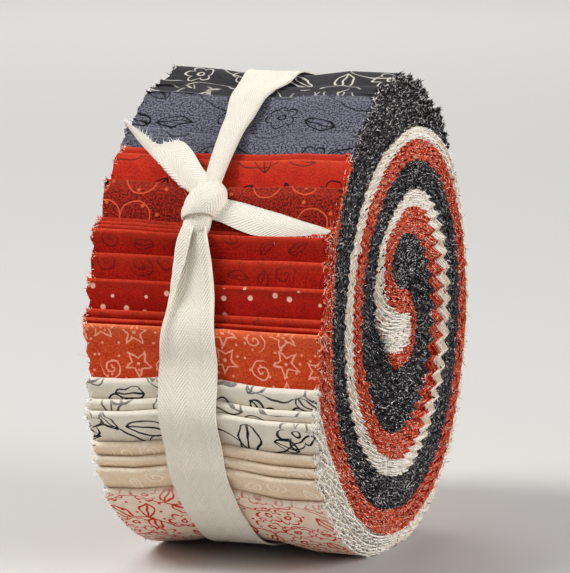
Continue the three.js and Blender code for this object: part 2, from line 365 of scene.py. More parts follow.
a = np.radians(-turned)
spoke = np.stack([-np.cos(a), np.sin(a)], 1)
around = faces[:, :, None] * spoke[:, None, :]
face_points = np.concatenate([around, even_faces(heart)])
heart_start = int(np.argmax(turned > last_section - join_reach))
run = face_points[heart_start:].copy()
for _ in range(join_passes):
    run[1:-1] = 0.25 * run[:-2] + 0.5 * run[1:-1] + 0.25 * run[2:]
face_points[heart_start:] = run
face_points += np.array([roll_y, roll_z])
print("one run of", len(face_points), "sections")

# %% [markdown]
# ### Cutting the cloth
# Every strip is one long sheet of thin cloth. Its centre line starts at one cut end in the heart of
# the roll, runs outwards to the fold, turns round it and runs back. Rows of vertices follow that line
# in steps of half a tooth, so the pinked edge is a true zigzag. Rows near the outside have more
# columns, because there the tape draws the cloth in; rows deep in the roll need only their rims. Cloth
# simulation suits a few loose sheets; forty layers pressed together are quicker to place than to settle.

# %% Measures of the cloth and its pinked edge
cloth = 0.2
tooth_pitch = 4.76
tooth_depth = 2.3
worn_teeth = 0.6
in_step_angle = 540.0
rim = strip_width / 2 - 0.35
toothed_band = 2.6
tape_middle = -2.3
tape_width = 15.9
full_columns = np.array([-rim, -rim + toothed_band, -20, -13, -10.4, tape_middle, 5.8, 8.6, 18,
                         rim - toothed_band, rim])
rim_columns = [0, 1, len(full_columns) - 2, len(full_columns) - 1]
rng = np.random.default_rng(40)


def zigzag(arc):
    """How far the pinked cut stands in from the tips at some length along the strip."""
    share = np.mod(arc / tooth_pitch, 1)
    return tooth_depth * 2 * np.minimum(share, 1 - share)


print("teeth", tooth_pitch, "mm apart and", zigzag(tooth_pitch / 2), "mm deep")

# %% How the tied tape draws the cloth in
waist_depth, extra_below = 1.4, 1.2
waist_reach = 22
flat_below = (14, 34)


def smoothstep(value, start, end):
    """0 before the start, 1 past the end, and a smooth rise between them."""
    t = np.clip((value - start) / (end - start), 0, 1)
    return t * t * (3 - 2 * t)


def squeeze(x, angle):
    """Depth of the waist under the tape, in millimetres."""
    away = smoothstep(np.abs(x - tape_middle), tape_width / 2 + 0.3, waist_reach)
    from_bottom = np.abs(np.mod(angle + 90 + 180, 360) - 180)
    return (1 - away) * (waist_depth + extra_below * (1 - smoothstep(from_bottom, *flat_below)))


print("the waist is", round(float(squeeze(tape_middle, 0.0)), 1), "mm deep in front")

# %% Follow one layer of a strip from its fold to its cut end
def layer_line(strip, outer):
    """Points of a layer's centre line, the length along it, and the length at which all teeth agree."""
    fold_at = -fold_angles[strip] - turned[0]
    start = int(math.ceil(fold_at))
    low = face_points[start:, strip]
    high = face_points[start:, strip + 1]
    share = start - fold_at
    first = low[0] + share * (face_points[start - 1, strip] - low[0])
    low = np.concatenate([first[None], low])
    high = np.concatenate([(first + high[0] - low[1])[None], high])
    room = high - low
    width = np.linalg.norm(room, axis=1, keepdims=True)
    unit = room / width
    inset = np.minimum(cloth / 2 + 0.01, width * 0.25)
    line = high - unit * inset if outer else low + unit * inset
    arc = length_along(line)
    in_step = arc[min(len(arc) - 1, int(in_step_angle - turned[0]) - start + 1)]
    return line, arc, in_step


print("the outer layer of the first strip is", round(float(layer_line(0, True)[1][-1])), "mm long")

# %% Rows at the tips and valleys of the teeth
out_of_step_by = 0.006
tooth_scale = (0.8, 1.1)
tooth_unevenness = 0.2
print("a row every", tooth_pitch / 2, "mm along the strip")


def half_tooth_rows(line, arc, in_step, trim):
    """Resample a layer at the tips and valleys of its teeth, a little out of step with its neighbours."""
    first = math.ceil((0.5 - in_step) / (tooth_pitch / 2))
    last = math.floor((arc[-1] - trim - in_step) / (tooth_pitch / 2))
    at = in_step + np.arange(first, last + 1) * tooth_pitch / 2
    at = np.concatenate([[0.0], at])
    out_of_step = rng.normal(0, out_of_step_by)
    points = np.stack([np.interp(at, arc, line[:, 0]), np.interp(at, arc, line[:, 1])], 1)
    teeth = zigzag((at - in_step) * (1 + out_of_step)) * rng.uniform(*tooth_scale, len(at))
    return points, at, teeth + rng.normal(0, tooth_unevenness, len(at))


# %% Join the two layers of a strip round its fold
fold_bulge = 1.15
fold_rows = 5
fold_setback = 0.9
uneven_cut = 2.5


def strip_path(strip):
    """Centre line from cut end to cut end, with the length along the strip and the depth of its teeth."""
    trim = cut_back[strip] + rng.uniform(0, uneven_cut, 2)
    inner, inner_arc, inner_teeth = half_tooth_rows(*layer_line(strip, False), trim[0])
    outer, outer_arc, outer_teeth = half_tooth_rows(*layer_line(strip, True), trim[1])
    middle = (inner[0] + outer[0]) / 2
    half = (outer[0] - inner[0]) / 2
    back = inner[1] - inner[0]
    forward = -back / np.linalg.norm(back)
    bulge = np.linalg.norm(half) * fold_bulge
    turn = np.linspace(0, math.pi, fold_rows + 2)[1:-1]
    fold = middle - np.cos(turn)[:, None] * half + np.sin(turn)[:, None] * forward * bulge
    path = np.concatenate([inner[::-1], fold, outer])
    path[len(inner) - 1:len(inner) + fold_rows + 1] -= forward * bulge * fold_setback
    share = turn / math.pi
    fold_teeth = inner_teeth[0] * (1 - share) + outer_teeth[0] * share
    teeth = np.concatenate([inner_teeth[::-1], fold_teeth, outer_teeth])
    fold_arc = (share - 0.5) * 2 * bulge
    along = np.concatenate([-inner_arc[::-1] - bulge, fold_arc, outer_arc + bulge])
    return path, along, teeth


sample = strip_path(20)[1]
print("a strip from the middle of the stack is", round(float(sample[-1] - sample[0])), "mm long")

# %% [markdown]
# ### Uneven rims and folds
# No roll is wound true. The layers swell and dip together, each strip lies a fraction of a millimetre to
# one side of its neighbours, and the tied tape drags the folded ends round with it. On both ends the outer
# layers splay. Noise could do all of it at once, but a few sine waves of known length and a short table of
# what the photograph shows are easier to steer.

# %% Wobbles that all the layers share, and the ragged line of the rims
def shared_wobble(angle, x):
    """Radial unevenness of the whole stack, in millimetres."""
    a = np.radians(angle)
    wave = np.sin(5 * a + 0.09 * x + 1.0) + 0.7 * np.sin(9 * a - 0.13 * x + 2.2)
    return 0.12 * wave + 0.1 * np.sin(14 * a + 0.21 * x)


def rim_wander(strip, along, side):
    """How far one edge of a strip strays outwards along its length."""
    own = edge_shift[strip, side]
    wave = np.sin(along / 23 + strip * 1.7 + side) + 0.6 * np.sin(along / 9.1 + strip * 2.9)
    return own + 0.12 * wave


edge_shift = rng.uniform(-0.3, 0.22, (strip_count, 2))
fold_slant = rng.uniform(-0.012, 0.012, strip_count)
print("rims stray by", round(float(np.abs(edge_shift).max()), 2), "mm")

# %% Lift the folds towards the tape
pull_above, pull_below = 0.5, 1.9
pull_width, pull_fade, pull_length = 7, 9, 14


def fold_lift(x, strip, along):
    """How far a folded end is dragged along the winding by the tied tape, in millimetres."""
    pulled = pull_below if fold_angles[strip] < 0 else pull_above
    near = np.exp(-np.maximum(np.abs(x - tape_middle) - pull_width, 0) / pull_fade)
    slow = np.exp(-np.abs(along)[:, None] / pull_length)
    return -(pulled * near + fold_slant[strip] * x + 0.15 * np.sin(x / 7 + strip))[None, :] * slow


last_fold_lift = fold_lift(full_columns, strip_count - 1, np.zeros(1))
print("the tape drags the lowest fold by", round(float(-last_fold_lift.min()), 1), "mm")

# %% Shape the rims of both ends
splay = {
    "angle": [-180, -110, -75, -50, -30, -8, 7, 20, 50, 100, 180],
    "at_rim": [0, 0, -1.3, -0.9, -0.4, 1.1, 3.1, 2.2, 1.9, 0.3, 0],
    "below": [0, 0, 0.7, 1.1, 1.5, 1.2, 1.0, 0.6, 0.3, 0, 0],
    "at_left_rim": [0, 0, 0, 0, 0, 0.4, 1.4, 1.5, 1.1, 0.5, 0],
}
splay_depth = 3.5
bulge_depth, bulge_width = 7.0, 4.0
end_crown = 0.9


def rim_dish(angle, depth):
    """How far the right-hand rims stand out: the outer layers splay, and a ring below them bulges."""
    at_rim = np.interp(angle, splay["angle"], splay["at_rim"]) * np.exp(-depth / splay_depth)
    below = np.interp(angle, splay["angle"], splay["below"])
    return end_crown + at_rim + below * np.exp(-((depth - bulge_depth) / bulge_width) ** 2)


def left_splay(angle, depth):
    """How far the outer layers splay out on the left."""
    return np.interp(angle, splay["angle"], splay["at_left_rim"]) * np.exp(-depth / splay_depth)


print("rims stand out", round(float(rim_dish(7.0, 0.0)), 1), "mm on the right in front and",
      round(float(left_splay(7.0, 0.0)), 1), "mm on the left")

# %% Place the rows of a strip
shown_depth = 14.0
worn_down_to, sharp_from = 12, 26
floor_clear, rise_with_depth = 0.02, 0.12


def strip_rows(strip):
    """Vertices of the print side and the wrong side of each row, and which columns the row has."""
    path, along, teeth = strip_path(strip)
    tangent = np.gradient(path, axis=0)
    tangent /= np.maximum(np.linalg.norm(tangent, axis=1, keepdims=True), 1e-9)
    print_side = np.stack([tangent[:, 1], -tangent[:, 0]], 1)
    offset = path - np.array([roll_y, roll_z])
    radius = np.linalg.norm(offset, axis=1)
    angle = np.degrees(np.arctan2(offset[:, 1], -offset[:, 0]))
    depth = np.maximum(outline_radius(angle) - radius, 0)
    x = np.repeat(full_columns[None], len(path), 0)
    teeth = teeth * (worn_teeth + (1 - worn_teeth) * smoothstep(depth, worn_down_to, sharp_from))
    left = rim_wander(strip, along, 0)
    right = rim_wander(strip, along, 1)
    x[:, 0] += teeth - left
    x[:, 1] += -left
    x[:, -1] -= teeth - right
    x[:, -2] += right
    x += rim_dish(angle, depth)[:, None] * np.clip(full_columns / rim, 0, 1)
    x -= left_splay(angle, depth)[:, None] * np.clip(-full_columns / rim, 0, 1)
    outward = offset / np.maximum(radius, 1e-6)[:, None]
    near_top = np.clip(1 - depth / shown_depth, 0, 1)[:, None]
    draw_in = squeeze(x, angle[:, None]) * near_top - shared_wobble(angle[:, None], x)
    slide = fold_lift(full_columns, strip, along)
    middle = path[:, None, :] - outward[:, None, :] * draw_in[:, :, None]
    middle = middle + tangent[:, None, :] * slide[:, :, None]
    half = print_side[:, None, :] * cloth / 2
    top = middle + half
    bottom = middle - half
    for surface in (top, bottom):
        surface[:, :, 1] = np.maximum(surface[:, :, 1], floor_clear + rise_with_depth * depth[:, None])
    shown = depth < shown_depth
    return x, top, bottom, along, shown


strip_shapes = [strip_rows(strip) for strip in range(strip_count)]
print("the strips have", sum(len(shape[3]) for shape in strip_shapes), "rows in all")


# %% Turn a strip's rows into a closed, thin mesh
def strip_mesh(strip, name):
    """A mesh with three materials: 0 print side, 1 wrong side, 2 cut edge."""
    x, top, bottom, along, shown = strip_shapes[strip]
    vertices, faces_out, slots, flat_uv = [], [], [], []
    rows = []
    for i in range(len(along)):
        columns = range(len(full_columns)) if shown[i] else rim_columns
        row = {}
        for c in columns:
            row[c] = len(vertices)
            vertices.append((x[i, c] * MM, top[i, c, 0] * MM, top[i, c, 1] * MM))
            vertices.append((x[i, c] * MM, bottom[i, c, 0] * MM, bottom[i, c, 1] * MM))
            flat_uv += [(x[i, c], along[i])] * 2
        rows.append(row)
    for this, after in zip(rows, rows[1:]):
        common = [c for c in this if c in after]
        for a, b in zip(common, common[1:]):
            near = [this[c] for c in this if a <= c <= b]
            far = [after[c] for c in after if a <= c <= b]
            faces_out.append([near[0]] + far + near[:0:-1])
            faces_out.append([v + 1 for v in near + far[::-1]])
            slots += [0, 1]
        for c, flip in ((common[0], False), (common[-1], True)):
            edge = [this[c], this[c] + 1, after[c] + 1, after[c]]
            faces_out.append(edge[::-1] if flip else edge)
            slots.append(2)
    for row, flip in ((rows[0], True), (rows[-1], False)):
        top_edge = list(row.values())
        end = top_edge + [v + 1 for v in reversed(top_edge)]
        faces_out.append(end[::-1] if flip else end)
        slots.append(2)
    mesh = bpy.data.meshes.new(name)
    mesh.from_pydata(vertices, [], faces_out)
    return mesh, np.array(slots), np.array(flat_uv)


print(len(full_columns), "columns near the outside,", len(rim_columns), "deep in the roll")


# %% Give a mesh its material slots, smooth faces, sharp rims and a flat map in millimetres
flat_map_name = "cloth_mm"


def finish_cloth(mesh, slots, flat_uv, shift=(0, 0)):
    """Dress a mesh for its materials. An edge is sharp where faces of two materials meet."""
    from_fold = mesh.attributes.new("from_fold", "FLOAT", "POINT")
    from_fold.data.foreach_set("value", flat_uv[:, 1].astype(np.float32))
    mesh.polygons.foreach_set("material_index", slots.astype(np.int32))
    mesh.polygons.foreach_set("use_smooth", np.ones(len(slots), bool))
    loops = np.zeros(len(mesh.loops), np.int32)
    mesh.loops.foreach_get("vertex_index", loops)
    layer = mesh.uv_layers.new(name=flat_map_name)
    layer.uv.foreach_set("vector", (flat_uv[loops] + np.array(shift)).astype(np.float32).ravel())
    edges = np.zeros(len(mesh.loops), np.int32)
    mesh.loops.foreach_get("edge_index", edges)
    face_of_loop = np.repeat(np.arange(len(slots)), [p.loop_total for p in mesh.polygons])
    low = np.full(len(mesh.edges), slots.max())
    high = np.zeros(len(mesh.edges), int)
    np.minimum.at(low, edges, slots[face_of_loop])
    np.maximum.at(high, edges, slots[face_of_loop])
    sharp = mesh.attributes.new("sharp_edge", "BOOLEAN", "EDGE")
    sharp.data.foreach_set("value", low != high)
    mesh.update()


print("the flat map is called", flat_map_name)

# %% [markdown]
# ### Printing the cloth
# Printed cotton is a plain weave with flat ink on one side. An image could be laid over it, but it would
# blur close up. Here the drawing is worked out by Math nodes from the flat map, in real millimetres, so a
# stroke of the pen is half a millimetre wide wherever it lies. A small class lets + and * make those
# nodes, which keeps each motif as short as its formula.

# %% Colours as seen, for a shader
def dye(red, green, blue):
    """A colour as seen on screen, turned into the linear values that a shader mixes."""
    channels = [c / 255 for c in (red, green, blue)]
    linear = [c / 12.92 if c <= 0.04045 else ((c + 0.055) / 1.055) ** 2.4 for c in channels]
    return (*linear, 1)


print("mid grey mixes as", round(dye(128, 128, 128)[0], 3))


# %% Numbers that shader nodes work out
class Ink:
    """A number in a node tree. Arithmetic on it adds Math nodes."""

    def __init__(self, tree, socket):
        self.tree = tree
        self.socket = socket

    def math(self, operation, *others):
        node = self.tree.nodes.new("ShaderNodeMath")
        node.operation = operation
        self.tree.links.new(self.socket, node.inputs[0])
        for number, other in enumerate(others, 1):
            if isinstance(other, Ink):
                self.tree.links.new(other.socket, node.inputs[number])
            else:
                node.inputs[number].default_value = other
        return Ink(self.tree, node.outputs[0])

    def __add__(self, other):
        return self.math("ADD", other)

    def __sub__(self, other):
        return self.math("SUBTRACT", other)

    def __mul__(self, other):
        return self.math("MULTIPLY", other)

    def __truediv__(self, other):
        return self.math("DIVIDE", other)

    def within(self, limit, soft=0.12):
        """1 where the number is under a limit, 0 where it is over, with a soft edge."""
        node = self.tree.nodes.new("ShaderNodeMapRange")
        node.interpolation_type = "SMOOTHSTEP"
        self.tree.links.new(self.socket, node.inputs["Value"])
        node.inputs["From Min"].default_value = limit - soft / 2
        node.inputs["From Max"].default_value = limit + soft / 2
        node.inputs["To Min"].default_value = 1
        node.inputs["To Max"].default_value = 0
        return Ink(self.tree, node.outputs["Result"])


print("+ - * and / on an Ink each add a Math node")

# %% Start a cloth material and read its flat map
cotton_roughness = 0.85
cotton_gloss = 0.14
edge_roughness = 0.95
edge_gloss = 0.04


def new_material(name, roughness=cotton_roughness, gloss=cotton_gloss):
    """A material, its node tree and its shader, with cloth's dull surface."""
    material = bpy.data.materials.new(name)
    material.use_nodes = True
    shader = material.node_tree.nodes["Principled BSDF"]
    shader.inputs["Roughness"].default_value = roughness
    shader.inputs["Specular IOR Level"].default_value = gloss
    return material, material.node_tree, shader


def flat_place(tree):
    """Place across and along the cloth, in millimetres."""
    node = tree.nodes.new("ShaderNodeUVMap")
    node.uv_map = flat_map_name
    split = tree.nodes.new("ShaderNodeSeparateXYZ")
    tree.links.new(node.outputs["UV"], split.inputs[0])
    return Ink(tree, split.outputs["X"]), Ink(tree, split.outputs["Y"])


def joined(tree, x, y):
    """Two numbers as one vector."""
    node = tree.nodes.new("ShaderNodeCombineXYZ")
    tree.links.new(x.socket, node.inputs["X"])
    tree.links.new(y.socket, node.inputs["Y"])
    return node.outputs["Vector"]


print("roughness of the face", cotton_roughness, "and of a cut edge", edge_roughness)


# %% Mottled tones, and one colour laid over another
def mottle(tree, vector, size, detail=3.0):
    """Cloudy noise from 0 to 1 with clouds of about that size in the vector's units."""
    node = tree.nodes.new("ShaderNodeTexNoise")
    node.inputs["Scale"].default_value = 1 / size
    node.inputs["Detail"].default_value = detail
    tree.links.new(vector, node.inputs["Vector"])
    return Ink(tree, node.outputs["Fac"])


def blend_colours(tree, amount, under, over):
    """Mix two colours or colour sockets by a number."""
    node = tree.nodes.new("ShaderNodeMix")
    node.data_type = "RGBA"
    tree.links.new(amount.socket, node.inputs["Factor"])
    for key, colour in (("A", under), ("B", over)):
        socket = next(s for s in node.inputs if s.name == key and s.type == "RGBA")
        if isinstance(colour, tuple):
            socket.default_value = colour
        else:
            tree.links.new(colour, socket)
    return next(s for s in node.outputs if s.type == "RGBA")


# %% Scatter motifs over the cloth
def hand_drawn(tree, u, v, amount=0.5, size=4.0):
    """Bend the map a little, so that lines look drawn by hand."""
    spot = joined(tree, u, v)
    first = mottle(tree, spot, size, 1.0)
    second = mottle(tree, joined(tree, v + 31.0, u * -1), size, 1.0)
    return u + (first - 0.5) * (4 * amount), v + (second - 0.5) * (4 * amount)


def scattered(tree, u, v, spacing, spread=0.5, seed=0.0):
    """Place measured from the nearest motif's middle, turned at random, and two random numbers."""
    node = tree.nodes.new("ShaderNodeTexVoronoi")
    node.voronoi_dimensions = "2D"
    node.inputs["Scale"].default_value = 1.0
    node.inputs["Randomness"].default_value = spread
    x, y = u / spacing + seed, v / spacing + seed * 0.37
    tree.links.new(joined(tree, x, y), node.inputs["Vector"])
    place = tree.nodes.new("ShaderNodeSeparateXYZ")
    tree.links.new(node.outputs["Position"], place.inputs[0])
    chance = tree.nodes.new("ShaderNodeSeparateXYZ")
    tree.links.new(node.outputs["Color"], chance.inputs[0])
    dx = (x - Ink(tree, place.outputs["X"])) * spacing
    dy = (y - Ink(tree, place.outputs["Y"])) * spacing
    turn = Ink(tree, chance.outputs["X"]) * (2 * math.pi)
    c, s = turn.math("COSINE"), turn.math("SINE")
    picks = Ink(tree, chance.outputs["Y"]), Ink(tree, chance.outputs["Z"])
    return dx * c - dy * s, dx * s + dy * c, picks


def polar(x, y):
    """Distance from the middle, and the angle round it."""
    return (x * x + y * y).math("SQRT"), y.math("ARCTAN2", x)


# %% [markdown]
# ### Motifs and drawings
# Prints like these are drawn with a pen: flowers, leaves and stems, rings, dots, stars and curls. A curve
# laid on the cloth for every petal would add thousands of pieces. So each motif is a distance from its own
# outline, cut off at half the pen's width. The scatter gives every motif a place and a turn of its own, and
# a little noise bends the map, so no two of them look alike.

# %% Round motifs: each gives 1 on its pen line and 0 off it
def ring(x, y, radius, pen=0.4):
    return (polar(x, y)[0] - radius).math("ABSOLUTE").within(pen / 2)


def dot(x, y, radius):
    return polar(x, y)[0].within(radius, 0.25)


# %% Motifs with points and petals
def star_outline(x, y, size, pen=0.4, notch=0.45, points=5):
    r, a = polar(x, y)
    wedge = 2 * math.pi / points
    fold = (a.math("FLOORED_MODULO", wedge) - wedge / 2).math("ABSOLUTE")
    px, py = r * fold.math("COSINE"), r * fold.math("SINE")
    tip = (size * math.cos(wedge / 2), size * math.sin(wedge / 2))
    inner = (size * notch, 0.0)
    across = (tip[1] - inner[1], inner[0] - tip[0])
    length = math.hypot(*across)
    distance = (px - inner[0]) * (across[0] / length) + (py - inner[1]) * (across[1] / length)
    return distance.math("ABSOLUTE").within(pen / 2)


def flower_outline(x, y, size, petals=5, pen=0.4):
    r, a = polar(x, y)
    edge = (a * (petals / 2)).math("SINE").math("ABSOLUTE").math("POWER", 0.6) * (size * 0.45) + size * 0.55
    rim_line = (r - edge).math("ABSOLUTE").within(pen / 2)
    return rim_line.math("MAXIMUM", ring(x, y, size * 0.22, pen))


def leaf_outline(x, y, length, pen=0.4):
    """A pointed leaf with its midrib, along x."""
    reach = length / 2
    bow = length * 0.65
    sag = math.sqrt(bow * bow - reach * reach)
    upper = (x * x + (y + sag) * (y + sag)).math("SQRT") - bow
    lower = (x * x + (y - sag) * (y - sag)).math("SQRT") - bow
    edge = upper.math("MAXIMUM", lower)
    midrib = y.math("ABSOLUTE").within(pen / 2) * edge.within(0.0)
    return edge.math("ABSOLUTE").within(pen / 2).math("MAXIMUM", midrib)


# %% Curls and stems
def swirl(x, y, size, pitch=1.5, pen=0.4):
    r, a = polar(x, y)
    phase = (r - a * (pitch / (2 * math.pi))).math("FLOORED_MODULO", pitch)
    return (phase - pitch / 2).math("ABSOLUTE").within(pen / 2) * r.within(size)


def vines(u, v, spacing, height, length, pen=0.4):
    """Wavy stems that run across the cloth."""
    wave = (u * (2 * math.pi / length)).math("SINE") * height
    row = (v + wave).math("FLOORED_MODULO", spacing) - spacing / 2
    return row.math("ABSOLUTE").within(pen / 2)


def either(first, second, pick, share):
    """One motif in some places and another in the rest."""
    chosen = pick.math("LESS_THAN", share)
    return first * chosen + second * (chosen * -1 + 1)


# %% Drawings with stems, leaves and flowers
def garden_lines(tree, u, v):
    """Leaves and flowers on winding stems, for the pen-line prints."""
    x, y = hand_drawn(tree, u, v, 0.9, 6.0)
    a, b, picks = scattered(tree, x, y, 13.0, 0.45, 3.1)
    blossom = flower_outline(a, b, 4.2, 5, 0.5)
    leaf = leaf_outline(a, b, 9.5, 0.5)
    motif = either(blossom, leaf, picks[0], 0.4)
    return motif.math("MAXIMUM", vines(x, y, 19.0, 4.0, 37.0, 0.45))


def bold_garden(tree, u, v):
    """The same garden, drawn larger and with a thicker pen."""
    x, y = hand_drawn(tree, u, v, 1.1, 7.0)
    a, b, picks = scattered(tree, x, y, 14.5, 0.5, 3.1)
    motif = either(flower_outline(a, b, 5.2, 5, 0.64), leaf_outline(a, b, 12.5, 0.64), picks[0], 0.35)
    c, d, picks = scattered(tree, x, y, 14.0, 0.8, 6.6)
    sprigs = either(leaf_outline(c, d, 7.5, 0.5), swirl(c, d, 2.6, 1.9, 0.5), picks[0], 0.6)
    return motif.math("MAXIMUM", vines(x, y, 19.0, 4.0, 29.0, 0.58)).math("MAXIMUM", sprigs)


# %% Drawings of rings, dots, stars and curls
def rings_and_dots(tree, u, v):
    x, y = hand_drawn(tree, u, v, 0.25, 5.0)
    a, b, picks = scattered(tree, x, y, 11.5, 0.5, 1.7)
    big = ring(a, b, 4.2, 0.34)
    small = ring(a, b, 2.4, 0.34)
    c, d, _ = scattered(tree, u, v, 7.3, 0.9, 8.3)
    return either(big, small, picks[0], 0.55).math("MAXIMUM", dot(c, d, 0.5))


def pale_dots(tree, u, v):
    a, b, picks = scattered(tree, u, v, 5.8, 0.9, 5.5)
    return either(dot(a, b, 0.72), dot(a, b, 0.45), picks[0], 0.45)


def star_mix(tree, u, v):
    x, y = hand_drawn(tree, u, v, 0.35, 3.0)
    a, b, picks = scattered(tree, x, y, 8.6, 0.5, 2.6)
    star = star_outline(a, b, 3.7, 0.42).math("MAXIMUM", dot(a, b, 0.5))
    curl = swirl(a, b, 3.1, 1.7, 0.42)
    c, d, _ = scattered(tree, u, v, 3.6, 0.8, 6.2)
    return either(star, curl, picks[0], 0.62).math("MAXIMUM", dot(c, d, 0.34))


def curls(tree, u, v):
    x, y = hand_drawn(tree, u, v, 0.6, 4.0)
    a, b, picks = scattered(tree, x, y, 8.5, 0.5, 4.4)
    return either(swirl(a, b, 3.2, 1.9, 0.5), leaf_outline(a, b, 6.0, 0.45), picks[0], 0.5)


def blossoms(tree, u, v):
    x, y = hand_drawn(tree, u, v, 0.6, 4.0)
    a, b, picks = scattered(tree, x, y, 8.0, 0.5, 7.9)
    motif = either(flower_outline(a, b, 3.9, 6, 0.62), leaf_outline(a, b, 7.6, 0.62), picks[0], 0.6)
    c, d, _ = scattered(tree, u, v, 4.6, 0.9, 9.4)
    return motif.math("MAXIMUM", dot(c, d, 0.45)).math("MAXIMUM", vines(x, y, 12.0, 3.0, 23.0, 0.5))


drawings = [garden_lines, bold_garden, rings_and_dots, pale_dots, star_mix, curls, blossoms]
print(len(drawings), "drawings")

# %% [markdown]
# ### The dyed cotton
# Quilting cotton has about 28 threads to the centimetre. They could be modelled one by one, but they are so
# fine that a bump a twentieth of a millimetre high looks the same. The ground is never one flat tone: the
# dye is cloudy. The crest of a fold gets a painted highlight, a paler colour that fades below it.

# %% The weave
thread_pitch = 0.36
thread_height = 0.06


def weave(tree, u, v, strength=0.5):
    """Plain weave: warp and weft cross over and under, as a bump of one thread's height."""
    across = (u * (math.pi / thread_pitch)).math("SINE")
    along = (v * (math.pi / thread_pitch)).math("SINE")
    height = across * along * 0.5 + 0.5
    bump = tree.nodes.new("ShaderNodeBump")
    bump.inputs["Strength"].default_value = strength
    bump.inputs["Distance"].default_value = thread_height * MM
    tree.links.new(height.socket, bump.inputs["Height"])
    return bump.outputs["Normal"], height


print(round(10 / thread_pitch), "threads to the centimetre")


# %% A finished print
def painted_fold_highlight(tree, spot):
    """How strong the painted highlight is: most on the crest of the fold, and a little for 6 mm below it."""
    node = tree.nodes.new("ShaderNodeAttribute")
    node.attribute_name = "from_fold"
    away = Ink(tree, node.outputs["Fac"]).math("ABSOLUTE")
    ragged = mottle(tree, spot, 0.8, 3.0) * 1.4 - 0.35
    return (away + ragged).within(0.85, 1.1) * 0.6 + away.within(3.2, 6.4) * 0.26


def printed_cotton(name, ground, shade, ink=None, drawing=None, cover=1.0, crest=None, grain=0.3):
    """Print side of a cotton: mottled ground, ink drawing, painted highlight on the crest of the fold,
    weave.
    """
    material, tree, shader = new_material(name)
    u, v = flat_place(tree)
    spot = joined(tree, u, v)
    clouds = mottle(tree, spot, 3.5, 4.0).within(0.52, 0.34)
    specks = mottle(tree, spot, 0.55, 2.0).within(0.5, 0.16)
    normal, height = weave(tree, u, v)
    tone = clouds * (0.8 - grain) + height * 0.2 + specks * grain
    colour = blend_colours(tree, tone, dye(*ground), dye(*shade))
    if drawing is not None:
        broken = mottle(tree, spot, 0.4, 2.0).within(0.7, 0.16)
        line = drawing(tree, u, v) * broken * cover
        colour = blend_colours(tree, line, colour, dye(*ink))
    # Painted highlight: the crest colour is painted along the crest of each fold and fades out below it.
    if crest is not None:
        colour = blend_colours(tree, painted_fold_highlight(tree, spot), colour, dye(*crest))
    tree.links.new(colour, shader.inputs["Base Color"])
    tree.links.new(normal, shader.inputs["Normal"])
    return material


# %% Cut edges and frayed threads
def thread_ends(tree, place, size, share):
    """1 in the specks that thread ends of that size make, over about that share of the noise."""
    grain = tree.nodes.new("ShaderNodeTexNoise")
    grain.inputs["Scale"].default_value = 1 / (size * MM)
    grain.inputs["Detail"].default_value = 2
    tree.links.new(place, grain.inputs["Vector"])
    return Ink(tree, grain.outputs["Fac"]).within(share, 0.04)


def speckled_edge(name, ground, pale, dark, pale_share, dark_share):
    """Pinked edge: the ground colour with light and dark thread ends in it."""
    material, tree, shader = new_material(name, edge_roughness, edge_gloss)
    place = tree.nodes.new("ShaderNodeTexCoord").outputs["Object"]
    light_ends = thread_ends(tree, place, 0.5, pale_share)
    dark_ends = thread_ends(tree, place, 0.8, dark_share)
    colour = blend_colours(tree, dark_ends, dye(*ground), dye(*dark))
    colour = blend_colours(tree, light_ends, colour, dye(*pale))
    tree.links.new(colour, shader.inputs["Base Color"])
    return material


def dyed_threads(name, ground, shade, pale, dark, pale_share, dark_share):
    """Frayed threads: each has one colour all along, picked by the number that its mesh carries."""
    material, tree, shader = new_material(name, edge_roughness, edge_gloss)
    node = tree.nodes.new("ShaderNodeAttribute")
    node.attribute_name = "thread_pick"
    pick = Ink(tree, node.outputs["Fac"])
    tone = (pick * 37).math("FRACT")
    colour = blend_colours(tree, tone, dye(*ground), dye(*shade))
    colour = blend_colours(tree, pick.within(pale_share, 0.03), colour, dye(*pale))
    colour = blend_colours(tree, (pick * -1 + 1).within(dark_share, 0.03), colour, dye(*dark))
    tree.links.new(colour, shader.inputs["Base Color"])
    return material
